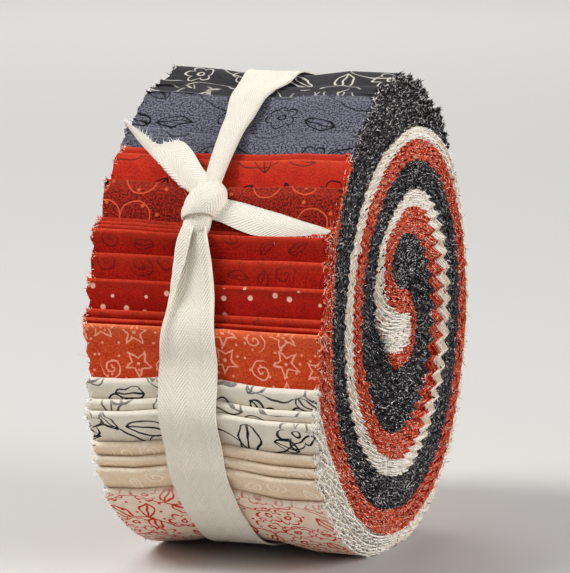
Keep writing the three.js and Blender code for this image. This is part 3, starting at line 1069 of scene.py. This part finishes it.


# %% [markdown]
# ### Ten designs, from dark to pale
# The stack is sorted by colour: charcoal and blue-grey, then reds and orange, then creams. A scan of each
# cloth would be quick to use, but its colours and its scale would be fixed. Here every design is a ground, a
# shade for the clouds in it, an ink and a drawing, and one function prints them all.

# %% Mix the dyes: ground, shade and ink of every design
# The crest of each design is the colour of its painted highlight along the fold.
prints = {
    "charcoal": printed_cotton("charcoal_cotton", (60, 59, 62), (32, 31, 34), (205, 200, 192),
                               garden_lines, crest=(96, 95, 100), grain=0.5),
    "blue_grey": printed_cotton("blue_grey_cotton", (126, 126, 143), (28, 28, 39), (20, 19, 24),
                                garden_lines, crest=(128, 128, 144), grain=0.72),
    "red_penline": printed_cotton("red_penline_cotton", (202, 50, 28), (156, 22, 8), (38, 14, 14),
                                  garden_lines, crest=(224, 84, 54), grain=0.5),
    "brick_rings": printed_cotton("brick_rings_cotton", (182, 44, 26), (64, 7, 5), (232, 104, 68),
                                  rings_and_dots, 0.8, crest=(206, 74, 50), grain=0.7),
    "red_curls": printed_cotton("red_curls_cotton", (190, 32, 14), (128, 8, 2), (92, 8, 4), curls, 0.75,
                                crest=(218, 76, 48), grain=0.5),
    "red_dots": printed_cotton("red_dots_cotton", (186, 28, 12), (136, 10, 4), (250, 204, 178),
                               pale_dots, 0.95, crest=(218, 76, 48), grain=0.5),
    "orange_stars": printed_cotton("orange_stars_cotton", (228, 92, 50), (180, 46, 18), (250, 170, 138),
                                   star_mix, 0.95, crest=(246, 136, 92), grain=0.5),
    "cream_penline": printed_cotton("cream_penline_cotton", (238, 231, 219), (223, 212, 196), (18, 15, 16),
                                    bold_garden, crest=(235, 228, 216)),
    "beige": printed_cotton("beige_cotton", (242, 221, 196), (224, 197, 164), (252, 240, 222), curls, 0.75,
                            crest=(250, 238, 220), grain=0.45),
    "cream_blossoms": printed_cotton("cream_blossoms_cotton", (246, 229, 210), (234, 207, 186),
                                     (204, 52, 34), blossoms, crest=(252, 242, 230)),
}
node_count = sum(len(cotton.node_tree.nodes) for cotton in prints.values())
print(len(prints), "printed cottons, made of", node_count, "nodes")

# %% Dyes of the cut edges, the frayed threads and the wrong sides
edges = {
    "dark": speckled_edge("dark_cut_edge", (44, 43, 48), (214, 210, 212), (10, 9, 12), 0.39, 0.52),
    "red": speckled_edge("red_cut_edge", (238, 84, 52), (255, 214, 188), (100, 12, 8), 0.42, 0.47),
    "cream": speckled_edge("cream_cut_edge", (255, 249, 240), (255, 253, 248), (70, 60, 56), 0.42, 0.32),
}
fibres = {
    "dark": dyed_threads("dark_fibre", (104, 92, 96), (24, 24, 31), (255, 250, 248), (4, 4, 6), 0.27, 0.42),
    "red": dyed_threads("red_fibre", (255, 118, 74), (226, 60, 34), (255, 228, 206), (72, 6, 5), 0.28, 0.28),
    "cream": dyed_threads("cream_fibre", (255, 251, 242), (234, 223, 208), (255, 255, 253), (38, 32, 34),
                          0.3, 0.08),
}
backs = {
    "dark": printed_cotton("dark_wrong_side", (96, 95, 98), (84, 83, 86)),
    "red": printed_cotton("red_wrong_side", (214, 110, 84), (204, 98, 72)),
    "cream": printed_cotton("cream_wrong_side", (238, 231, 219), (230, 221, 206)),
}
print("edges, threads and wrong sides for", ", ".join(backs))

# %% Which design each strip is cut from, in the order of the stack
design_order = (
    ["charcoal"] * len(dark_folds) + ["blue_grey"] * len(blue_grey_folds)
    + ["red_curls", "red_penline", "brick_rings"] + ["red_curls"] * 5 + ["red_dots"] + ["red_curls"] * 2
    + ["orange_stars"] * len(orange_folds)
    + ["cream_penline"] * len(cream_folds) + ["beige"] * 3 + ["cream_blossoms"]
)
print(len(prints), "designs for", len(design_order), "strips")

# %% [markdown]
# ### Forty strips
# Each strip of the real roll can be pulled out and sewn. One mesh for the whole stack would be quicker to
# make, but then no strip could be taken out or get another print. So every strip is a piece of its own,
# with a print side, a wrong side and a cut edge, and its print starts at another place of the cloth.

# %% Put a finished mesh in the scene
def place_piece(name, mesh, materials, node):
    """A piece that rides on the roll and stands for one of its solids."""
    placed = bpy.data.objects.new(name, mesh)
    bpy.context.scene.collection.objects.link(placed)
    for material in materials:
        mesh.materials.append(material)
    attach(placed, "root")
    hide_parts(node)
    return placed


print("ready for", len(design_order), "strips")

# %% Make all forty strips
furthest_start = 300
group_names = [name for name, (start, end) in zip(backs, groups) for _ in range(start, end)]
strips = []
for index, group in enumerate(group_names):
    piece_name = f"strip_{index + 1:02d}"
    cloth_mesh, face_slots, flat_map = strip_mesh(index, piece_name)
    materials = (prints[design_order[index]], backs[group], edges[group])
    piece = place_piece(piece_name, cloth_mesh, materials, "wound_strips")
    finish_cloth(cloth_mesh, face_slots, flat_map, rng.uniform(0, furthest_start, 2))
    strips.append(piece)
triangles = sum(len(p.vertices) - 2 for s in strips for p in s.data.polygons)
print(len(strips), "strips,", triangles, "triangles")

# %% [markdown]
# ### Frayed edges
# Pinked cotton still frays, and forty strips side by side make a furry end face, flecked with light and
# dark threads. Fur from a particle system would not travel with the mesh, so the threads are made here:
# each is a thin spike with four small faces, rooted on a cut edge and pointing out of it.

# %% Where threads come out of a pinked edge
fray_near_fold = 0.22
fray_reach = 14
print("share of the threads that crowd near a fold:", fray_near_fold)


def rim_roots(strip, count, side):
    """Random places on one pinked edge of a strip, with the direction out of the roll there."""
    x, top, bottom, along, _ = strip_shapes[strip]
    column = 0 if side < 0 else -1
    fold_row = int(np.argmin(np.abs(along)))
    near_fold = np.abs(rng.normal(0, fray_reach, count)) * rng.choice([-1, 1], count) + fold_row
    at = np.where(rng.random(count) < fray_near_fold, near_fold, rng.uniform(0, len(along), count))
    at = np.clip(at, 0, len(along) - 1.001)
    low = at.astype(int)
    share = (at - low)[:, None]
    edge = np.concatenate([x[:, column, None], (top[:, column] + bottom[:, column]) / 2], 1)
    root = edge[low] * (1 - share) + edge[low + 1] * share
    away = top[low, column] - bottom[low, column]
    return root, away / np.linalg.norm(away, axis=1, keepdims=True)


# %% Threads as one mesh of thin spikes
def fibre_mesh(name, root, direction, length, thick, picks):
    """Spikes with a three-sided foot, all in one mesh. Each carries a number that picks its colour."""
    count = len(root)
    helper = rng.normal(size=(count, 3))
    first = np.cross(direction, helper)
    first /= np.linalg.norm(first, axis=1, keepdims=True)
    second = np.cross(direction, first)
    corners = []
    for corner in range(3):
        a = 2 * math.pi * corner / 3
        corners.append(root + (first * math.cos(a) + second * math.sin(a)) * thick[:, None])
    corners.append(root + direction * length[:, None])
    vertices = np.stack(corners, 1).reshape(-1, 3) * MM
    base = np.arange(count)[:, None, None] * 4
    spike = np.array([(0, 2, 1), (0, 1, 3), (1, 2, 3), (2, 0, 3)])
    triangles = (base + spike).reshape(-1, 3)
    mesh = bpy.data.meshes.new(name)
    mesh.from_pydata(vertices.tolist(), [], triangles.tolist())
    pick = mesh.attributes.new("thread_pick", "FLOAT", "POINT")
    pick.data.foreach_set("value", np.repeat(picks, 4).astype(np.float32))
    return mesh


# %% Grow threads from the cut edges of one colour group
end_shares = {1: 0.62, -1: 0.38}
root_depth = 1.2
side_lean, outward_lean, outward_spread, gap_lean = 1.0, 0.7, 0.4, 0.35
pale_bias = 2.2
shortest_thread = 0.45
thread_radii = (0.1, 0.19)
loose_share, loose_radius = 0.006, 0.06
loose_lengths = (2.5, 5)
lowest_root, lowest_tip = 0.15, 0.05


def frayed_edges(group, name, count):
    """Threads along both ends of every strip in a group, more on the end that shows."""
    members = [i for i in range(strip_count) if group_names[i] == group]
    roots, directions, picks = [], [], []
    for strip in members:
        for side, share in end_shares.items():
            amount = int(count * share / len(members))
            root, away = rim_roots(strip, amount, side)
            root[:, 0] -= side * rng.uniform(0, root_depth, amount)
            lean = rng.normal(0, side_lean, (amount, 3))
            lean[:, 0] = side * np.abs(rng.normal(outward_lean, outward_spread, amount))
            lean[:, 1:] += away * rng.normal(0, gap_lean, (amount, 1))
            roots.append(root)
            picks.append(rng.random(amount) ** (1 if side > 0 else pale_bias))
            directions.append(lean / np.linalg.norm(lean, axis=1, keepdims=True))
    root, direction = np.concatenate(roots), np.concatenate(directions)
    length = rng.gamma(3.5, 0.17, len(root)) + shortest_thread
    thick = rng.uniform(*thread_radii, len(root))
    loose = rng.random(len(root)) < loose_share
    length[loose] = rng.uniform(*loose_lengths, loose.sum())
    thick[loose] = loose_radius
    root[:, 2] = np.maximum(root[:, 2], lowest_root)
    tip_low = root[:, 2] + direction[:, 2] * length < lowest_tip
    direction[tip_low, 2] *= -1
    return fibre_mesh(name, root, direction, length, thick, np.concatenate(picks))


thread_count = {"dark": 31000, "red": 29000, "cream": 26000}
for group, amount in thread_count.items():
    piece_name = f"frayed_{group}"
    threads = frayed_edges(group, piece_name, amount)
    fray = place_piece(piece_name, threads, [fibres[group]], "wound_strips")
    print(fray.name, len(fray.data.polygons), "triangles")

# %% [markdown]
# ### The cotton tape
# The tape is a herringbone twill, 15.9 mm wide and half a millimetre thick. It lies flat round the
# roll, folds up into a gutter where it nears the knot, and comes out of the knot as two free ends. A curve
# with a flat bevel would be quick, but its section can't change along the way. So each stretch is drawn as
# a few given cross-sections, and a smooth sheet is run through them.

# %% Smooth curves through given points
tape_cloth = 0.5
tape_across = 21
print("the tape is a sheet", tape_cloth, "mm thick with", tape_across, "points across")


def smooth_between(stations, values, at):
    """Catmull-Rom interpolation of arrays set at rising stations."""
    stations = np.asarray(stations, float)
    values = np.asarray(values, float)
    slope = np.gradient(values, stations, axis=0)
    index = np.clip(np.searchsorted(stations, at) - 1, 0, len(stations) - 2)
    span = stations[index + 1] - stations[index]
    t = (at - stations[index]) / span
    shape = (-1,) + (1,) * (values.ndim - 1)
    t, span = t.reshape(shape), span.reshape(shape)
    h00, h10 = 2 * t**3 - 3 * t**2 + 1, t**3 - 2 * t**2 + t
    h01, h11 = -2 * t**3 + 3 * t**2, t**3 - t**2
    first, last = values[index], values[index + 1]
    return h00 * first + h10 * span * slope[index] + h01 * last + h11 * span * slope[index + 1]


def even_section(points, count):
    """Spread a section's few points into evenly spaced ones along its own length."""
    points = np.asarray(points, float)
    arc = length_along(points)
    return smooth_between(arc, points, np.linspace(0, arc[-1], count))


# %% A closed thin sheet from a grid of points
def sheet_mesh(name, surface, thickness, across_mm, along_mm):
    """A sheet from a grid of points, rows along it and columns across it, with its slots and flat map."""
    rows, columns = surface.shape[:2]
    along_way = np.gradient(surface, axis=0)
    across_way = np.gradient(surface, axis=1)
    normal = np.cross(across_way, along_way)
    normal /= np.maximum(np.linalg.norm(normal, axis=2, keepdims=True), 1e-9)
    both = [surface + normal * thickness / 2, surface - normal * thickness / 2]
    vertices = np.concatenate([b.reshape(-1, 3) for b in both]) * MM
    index = np.arange(rows * columns).reshape(rows, columns)
    a, b = index[:-1, :-1].ravel(), index[:-1, 1:].ravel()
    c, d = index[1:, 1:].ravel(), index[1:, :-1].ravel()
    shift = rows * columns
    front = np.stack([a, b, c, d], 1)
    back = np.stack([d, c, b, a], 1) + shift
    border = np.concatenate([index[0, :], index[1:, -1], index[-1, -2::-1], index[-2:0:-1, 0]])
    after = np.roll(border, -1)
    wall = np.stack([after, border, border + shift, after + shift], 1)
    mesh = bpy.data.meshes.new(name)
    mesh.from_pydata(vertices.tolist(), [], np.concatenate([front, back, wall]).tolist())
    u, v = np.meshgrid(across_mm, along_mm)
    flat = np.stack([u.ravel(), v.ravel()], 1)
    slots = np.concatenate([np.zeros(len(front) + len(back)), np.full(len(wall), 1)]).astype(int)
    return mesh, slots, np.concatenate([flat, flat])


# %% Height of the cloth under the tape
fold_room = 0.1
whole_turn = 361
overlap = 20
crest_blur = 2


def cloth_top(angle):
    """Radius that clears every fold near an angle, in the waist under the tape."""
    turned_here = np.mod(-np.asarray(angle, float) - turned[0], 360) + turned[0]
    crest = np.interp(turned_here, turned[:whole_turn], crest_line)
    return crest - squeeze(tape_middle, np.asarray(angle, float))


top_face = np.array([faces[i, int((turned[i] + fold_angles >= -0.5).sum())] for i in range(whole_turn)])
nearby = np.arange(-3, 4)
crest_line = np.max([np.roll(top_face, step) for step in nearby], axis=0) + fold_room
closed_line = np.concatenate([crest_line[-overlap:], crest_line, crest_line[:overlap]])
crest_line = smooth(closed_line, crest_blur)[overlap:-overlap]
print("tape lies", round(float(cloth_top(0.0)), 1), "mm from the middle in front")

# %% Sections of the band: degrees up the front, then (place along the axis, height over the cloth)
flat_section = [(-10.25, 0.25), (-9.4, 0.1), (-7.6, 0.05), (-5, 0.05), (-2.3, 0.05), (0.4, 0.05),
                (3, 0.05), (4.8, 0.1), (5.65, 0.25)]
band_sections = {
    33: [(-3.4, 1.6), (-4.3, 1.9), (-4.7, 1.3), (-4.3, 0.6), (-3.3, 0.5), (-2.6, 0.9), (-1.9, 0.7),
         (-1.3, 0.9), (-1.6, 1.5)],
    28: [(-3.0, 2.5), (-4.4, 2.9), (-5.9, 2.5), (-5.6, 0.9), (-4.2, 0.5), (-2.7, 1.2), (-1.5, 1.1),
         (-0.6, 0.9), (-0.2, 1.9)],
    23.5: [(-3.6, 2.5), (-5.3, 3.1), (-7.0, 2.7), (-6.7, 0.8), (-4.6, 0.3), (-2.6, 0.9), (-0.7, 1.0),
           (0.6, 1.0), (1.3, 2.0)],
    19.5: [(-4.6, 2.4), (-6.1, 2.9), (-7.6, 2.4), (-7.2, 0.7), (-4.9, 0.2), (-2.5, 0.5), (-0.2, 0.7),
           (1.5, 0.8), (2.3, 1.7)],
    15: [(-5.9, 2.4), (-7.0, 2.5), (-8.0, 1.7), (-7.3, 0.45), (-5.0, 0.1), (-2.4, 0.25), (0.4, 0.4),
         (2.4, 0.6), (3.3, 1.4)],
    10: [(-7.4, 2.2), (-8.0, 1.8), (-8.4, 1.0), (-7.3, 0.25), (-4.9, 0.1), (-2.1, 0.1), (0.9, 0.2),
         (3.2, 0.4), (4.1, 1.1)],
    4: [(-9.2, 1.5), (-9.0, 0.9), (-8.4, 0.4), (-7, 0.1), (-4.7, 0.05), (-2.0, 0.05), (1.2, 0.1),
        (3.9, 0.3), (4.9, 0.8)],
    -3: [(-10.4, 0.6), (-9.4, 0.3), (-8, 0.1), (-5.6, 0.05), (-2.6, 0.05), (0.2, 0.05), (2.7, 0.05),
         (4.5, 0.1), (5.4, 0.35)],
    -16: [(x - 0.2, h) for x, h in flat_section],
    -34: [(x + 0.35, h) for x, h in flat_section],
    -90: flat_section,
    -250: flat_section,
    -278: [(-9.2, 0.3), (-8.6, 0.15), (-7.2, 0.3), (-4.8, 0.3), (-2.3, 0.2), (0.2, 0.3), (2.8, 0.4),
           (4.2, 0.2), (4.6, 0.3)],
    -292: [(-5.9, 0.4), (-6.6, 0.6), (-6.2, 1.3), (-4.6, 1.4), (-2.3, 1.2), (-0.2, 1.4), (1.8, 1.3),
           (2.6, 0.7), (2.1, 0.3)],
    -303: [(-3.6, 0.4), (-4.7, 0.6), (-4.7, 1.5), (-3.6, 2.1), (-1.9, 2.2), (-0.3, 2.1), (1.0, 1.6),
           (1.4, 0.8), (0.6, 0.4)],
    -312: [(-2.4, 0.6), (-3.9, 0.9), (-4.2, 1.9), (-3.1, 2.8), (-1.7, 3.1), (-0.3, 2.8), (0.7, 2.0),
           (0.8, 1.2), (-0.1, 0.7)],
    -321: [(-2.2, 1.0), (-3.4, 1.3), (-3.7, 2.1), (-2.9, 3.0), (-1.7, 3.3), (-0.5, 3.0), (0.3, 2.2),
           (0.3, 1.4), (-0.6, 1.0)],
}
print(len(band_sections), "sections of the band")

# %% The band, from the knot down the front, round the back and up to the knot again
under_band = 0.08
lowest_band = 0.35


def roll_place(x, angle, radius):
    """Points from places along the axis, angles up the front and radii."""
    a = np.radians(angle)
    x, y, z = np.broadcast_arrays(x, roll_y - radius * np.cos(a), roll_z + radius * np.sin(a))
    return np.stack([x, y, z], -1)


band_angles = np.arange(33.0, -321.1, -1.5)
known = np.array(sorted(band_sections))
spread_sections = np.array([even_section(band_sections[k], tape_across) for k in known])
band = smooth_between(known, spread_sections, band_angles[::-1])[::-1]
height = band[:, :, 1] + tape_cloth / 2 + under_band
sway = 0.12 * np.sin(np.radians(band_angles) * 7)[:, None]
band_radius = cloth_top(band_angles)[:, None] + height
band_surface = roll_place(band[:, :, 0] + sway, band_angles[:, None], band_radius)
band_surface[:, :, 2] = np.maximum(band_surface[:, :, 2], lowest_band)
tape_across_mm = np.linspace(-tape_width / 2, tape_width / 2, tape_across)
band_along = length_along(band_surface[:, tape_across // 2])
print("the band is", round(float(band_along[-1])), "mm long")

# %% [markdown]
# ### Twill
# Herringbone tape is woven with diagonal ribs that lean one way and then the other, in four zones across
# its width. Modelled ribs would cost a million faces, and a bump shows them as well at this size. A sine of
# the place across and along gives the ribs, and the sign of the slope changes from zone to zone.

# %% Twill cloth for the tape
rib_pitch, stitch_pitch = 0.92, 0.7
rib_height = 0.22


def herringbone(name, light_tone, shade_tone):
    """Off-white cotton twill whose diagonal ribs change direction in four zones, with painted shade between
    the ribs.
    """
    material, tree, shader = new_material(name)
    u, v = flat_place(tree)
    zone = (u + tape_width / 2) / (tape_width / 4)
    odd = (zone.math("FLOOR") * 0.5).math("FRACT") * 4 - 1
    rib = ((v * 0.75 + u * odd * 1.15) * (2 * math.pi / rib_pitch)).math("SINE") * 0.5 + 0.5
    stitch = (v * (2 * math.pi / stitch_pitch)).math("SINE") * 0.5 + 0.5
    groove = rib.math("POWER", 1.4) * 0.6 + rib * stitch * 0.4
    zone_edge = ((zone.math("FRACT") - 0.5).math("ABSOLUTE") * -1 + 0.5).within(0.05, 0.08)
    depth = groove * (zone_edge * -0.6 + 1)
    fuzz = mottle(tree, joined(tree, u, v), 0.5, 3.0)
    # Painted shade: the low parts between the ribs get the shade tone and the raised ribs the light tone;
    # the mottle adds random tone.
    tone = depth * 0.75 + fuzz * 0.25
    colour = blend_colours(tree, tone, dye(*shade_tone), dye(*light_tone))
    tree.links.new(colour, shader.inputs["Base Color"])
    bump = tree.nodes.new("ShaderNodeBump")
    bump.inputs["Strength"].default_value = 0.8
    bump.inputs["Distance"].default_value = rib_height * MM
    tree.links.new((depth + fuzz * 0.3).socket, bump.inputs["Height"])
    tree.links.new(bump.outputs["Normal"], shader.inputs["Normal"])
    return material


# The second colour is the painted shade between the twill ribs.
twill = herringbone("cotton_twill", (255, 253, 247), (231, 222, 204))
twill_edge = printed_cotton("tape_selvedge", (250, 246, 236), (232, 223, 204))
print(twill.name, "has ribs", rib_pitch, "mm apart")


# %% Finish one stretch of the tape
def tape_piece(name, surface, across_mm, along_mm, flat_length, held, thickness=tape_cloth, flat_area=None):
    """A tape piece: closed sheet and twill."""
    mesh, slots, flat = sheet_mesh(name, surface, thickness, across_mm, along_mm)
    stretch = place_piece(name, mesh, [twill, twill_edge], "tape_tie")
    finish_cloth(mesh, slots, flat)
    area = None if flat_area is None else flat_area * MM * MM
    return stretch


tape_band = tape_piece("tape_band", band_surface, tape_across_mm, band_along, band_along[-1], "stretched")
print("tape_band:", len(tape_band.data.polygons), "faces")

# %% [markdown]
# ### The knot
# A tied tape shows one turn wrapped round a core. The core comes out below, shaded by the rolled lip of
# the wrap. Simulating a knot is hard to steer, so it is drawn like the tape, as one stretch of rings
# stacked up the front of the roll: up the core, back down under the lip, and over the wrap. The folds of
# the gathered tape run over the wrap as low ridges.

# %% Sections of the knot, from its foot to its top
knot_clear = 0.4
knot_cloth = 0.35
knot_sections = {
    "angle": [26.2, 26.6, 27.4, 28.4, 29.6, 30.8, 31.0, 30.3, 29.9, 30.3, 31.4, 32.9, 34.4, 35.8, 37.0,
              38.1, 39.0, 39.5],
    "middle": [-1.9, -2.2, -2.8, -3.1, -3.0, -2.9, -2.9, -2.9, -2.8, -2.6, -2.2, -1.7, -1.4, -1.3, -1.4,
               -1.5, -1.6, -1.6],
    "half": [1.1, 2.1, 3.2, 3.6, 3.6, 3.4, 3.5, 3.8, 4.1, 4.4, 4.9, 5.3, 5.3, 4.8, 4.1, 3.2, 2.1, 0.8],
    "deep": [2.2, 3.0, 4.0, 4.6, 4.9, 5.0, 5.6, 6.0, 6.4, 6.8, 7.3, 7.5, 7.2, 6.6, 5.8, 4.9, 3.9, 3.2],
}


def knot_surface(sections, rows, turns, ridge):
    """Rings of points that stand on the cloth: half is half their width, deep is their height."""
    columns = np.array([sections[k] for k in ("angle", "middle", "half", "deep")], float).T
    fine = smooth_between(np.arange(len(columns)), columns, np.linspace(0, len(columns) - 1, rows))
    angle, middle, half, deep = (fine[:, i, None] for i in range(4))
    around = turns[None, :]
    gather = np.sin(5 * around + angle * 0.9) * np.sin(angle * 0.55)
    fold = np.exp(-((np.mod(around - 0.35 * (angle - 30), 2 * math.pi) - 1.9) / 0.28) ** 2)
    ripple = 1 + ridge * gather - 0.05 * fold * smoothstep(angle, 30.5, 33)
    x = middle + half * np.cos(around) * ripple
    lean = 0.55 * np.cos(around)
    radius = outline_radius(angle) + knot_clear + deep / 2 + deep / 2 * np.sin(around) * ripple
    return roll_place(x, angle + lean, radius)


print(len(knot_sections["angle"]), "rings set by hand")

# %% The knot is one stretch of tape: up from the core's foot, over the lip and on to the top of the wrap
ring_count = 73
ring_turns = np.linspace(0, 2 * math.pi, 61)
ridge_height = 0.022
widest_ring, front_of_ring = 45, 15

knot_rings = knot_surface(knot_sections, ring_count, ring_turns, ridge_height)
knot_maps = [length_along(line) for line in (knot_rings[widest_ring], knot_rings[:, front_of_ring])]
knot_cells = np.cross(np.diff(knot_rings, axis=0)[:, 1:], np.diff(knot_rings, axis=1)[1:])
knot_length = float(np.linalg.norm(knot_cells, axis=2).sum()) / tape_width
tape_piece("tape_knot", knot_rings, *knot_maps, knot_length, "folded", knot_cloth)
print("the knot shows", round(knot_length, 1), "mm of tape")

# %% [markdown]
# ### The free ends
# Both ends are the tape folded in two lengthwise and cut at a slant, so each runs out to a point. A flat
# pointed strip would look alike from in front, but it would have no thickness at the fold and the wrong
# amount of cloth. So every section is bent round the fold, with the layer below a little shorter.

# %% Sections of the two ends: lower and upper point as (along the axis, degrees), height over the cloth
left_end = [
    ((-4.2, 34.6), (-2.6, 40.8), 2.9), ((-7.1, 37.0), (-5.4, 43.3), 2.5), ((-11.0, 39.4), (-7.9, 46.2), 1.9),
    ((-14.6, 42.4), (-11.0, 49.6), 1.5), ((-18.8, 45.8), (-14.9, 52.0), 1.3),
    ((-22.6, 48.7), (-20.8, 50.8), 1.2), ((-26.5, 52), (-25.4, 53.6), 1.2),
    ((-30.0, 55.4), (-30.1, 56.5), 1.2), ((-32.6, 57.6), (-32.8, 58.3), 1.2),
]
right_end = [
    ((-0.6, 30.2), (0.6, 36.0), 3.0), ((3.4, 29.4), (3.4, 35.0), 2.6), ((8.2, 27.9), (7.8, 34.4), 2.0),
    ((12.9, 26.8), (13.4, 33.2), 1.8), ((17.9, 26.6), (19.1, 32.0), 1.8), ((24.3, 27.0), (24.8, 30.6), 1.9),
    ((29.5, 27.3), (29.6, 29.6), 2.0), ((33.0, 27.4), (33.1, 28.6), 2.1),
]
print(len(left_end), "sections on the left and", len(right_end), "on the right")

# %% Bend every section round its fold
fold_crown = 0.8
layer_gap = 0.62
end_rows = 64
shorter_by = 1


def free_end(rows, fold_low):
    """One end's grid of points, from the free edge over the fold to the layer below, and its length map."""
    table = np.array([[*low, *high, rise] for low, high, rise in rows])
    fine = smooth_between(np.arange(len(table)), table, np.linspace(0, len(table) - 1, end_rows))
    fold, free = (fine[:, :2], fine[:, 2:4]) if fold_low else (fine[:, 2:4], fine[:, :2])
    arc_per_degree = np.radians(1) * roll_radius
    surface = np.zeros((end_rows, tape_across, 3))
    for i in range(end_rows):
        width = math.hypot(free[i, 0] - fold[i, 0], (free[i, 1] - fold[i, 1]) * arc_per_degree)
        below = min(tape_width - width - shorter_by, 0.97 * width)
        rise = fine[i, 4]
        under = rise - layer_gap
        lift = fold_crown * (1 - 0.8 * i / end_rows)
        front = [(width, rise), (0.7 * width, rise + lift * 0.8), (0.35 * width, rise + lift)]
        bend = [(0.08 * width, rise), (-0.06 * width, rise - layer_gap * 0.45), (0.05 * width, under)]
        back = [(0.5 * below, under), (below, under)]
        section = even_section(front + bend + back, tape_across)
        share = section[:, :1] / width
        place = fold[i] + (free[i] - fold[i]) * share
        surface[i] = roll_place(place[:, 0], place[:, 1], outline_radius(place[:, 1]) + section[:, 1])
    return surface, length_along(surface[:, tape_across // 3])


print("the two layers lie", layer_gap, "mm apart")

# %% Make both free ends, and note where they are cut
folded_cloth = 0.36
cut_row = 4
free_ends = {
    "tape_left_end": (left_end, True),
    "tape_right_end": (right_end, False),
}
cut_roots, cut_aims = [], []
for name, (rows, fold_low) in free_ends.items():
    end_surface, end_along = free_end(rows, fold_low)
    cut_start = int(cut_row / (len(rows) - 1) * (len(end_along) - 1))
    length, square = end_along[-1], end_along[cut_start]
    tape_piece(name, end_surface, tape_across_mm, end_along, length, "laid", folded_cloth,
               flat_area=tape_width * (square + length) / 2)
    cut_line = end_surface[cut_start:, 0]
    along_cut = np.gradient(cut_line, axis=0)
    across_cut = cut_line - end_surface[cut_start:, 4]
    cut_roots.append(cut_line)
    cut_aims.append(along_cut / np.linalg.norm(along_cut, axis=1, keepdims=True)
                    + across_cut / np.linalg.norm(across_cut, axis=1, keepdims=True))
    print(name, "is", round(float(length)), "mm long, cut at a slant from", round(float(square)), "mm")

# %% Ravelled threads along the two slanted cuts
ravel_count = 170
thread_pick = 0.2
root_behind, root_scatter = 0.3, 0.12
aim_scatter = 0.45
shortest_ravel = 0.4
ravel_radii = (0.07, 0.12)

ravel_root, ravel_aim = [], []
for roots, aims in zip(cut_roots, cut_aims):
    at = rng.integers(0, len(roots), ravel_count)
    ravel_root.append(roots[at] - root_behind * aims[at] + rng.normal(0, root_scatter, (ravel_count, 3)))
    aim = aims[at] + rng.normal(0, aim_scatter, (ravel_count, 3))
    ravel_aim.append(aim / np.linalg.norm(aim, axis=1, keepdims=True))
ravel_length = rng.gamma(3.0, 0.34, 2 * ravel_count) + shortest_ravel
ravel_thick = rng.uniform(*ravel_radii, 2 * ravel_count)
ravel_mesh = fibre_mesh("tape_ravel", np.concatenate(ravel_root), np.concatenate(ravel_aim), ravel_length,
                        ravel_thick, np.full(2 * ravel_count, thread_pick))
place_piece("tape_ravel", ravel_mesh, [fibres["cream"]], "tape_tie")
print(2 * ravel_count, "ravelled threads")
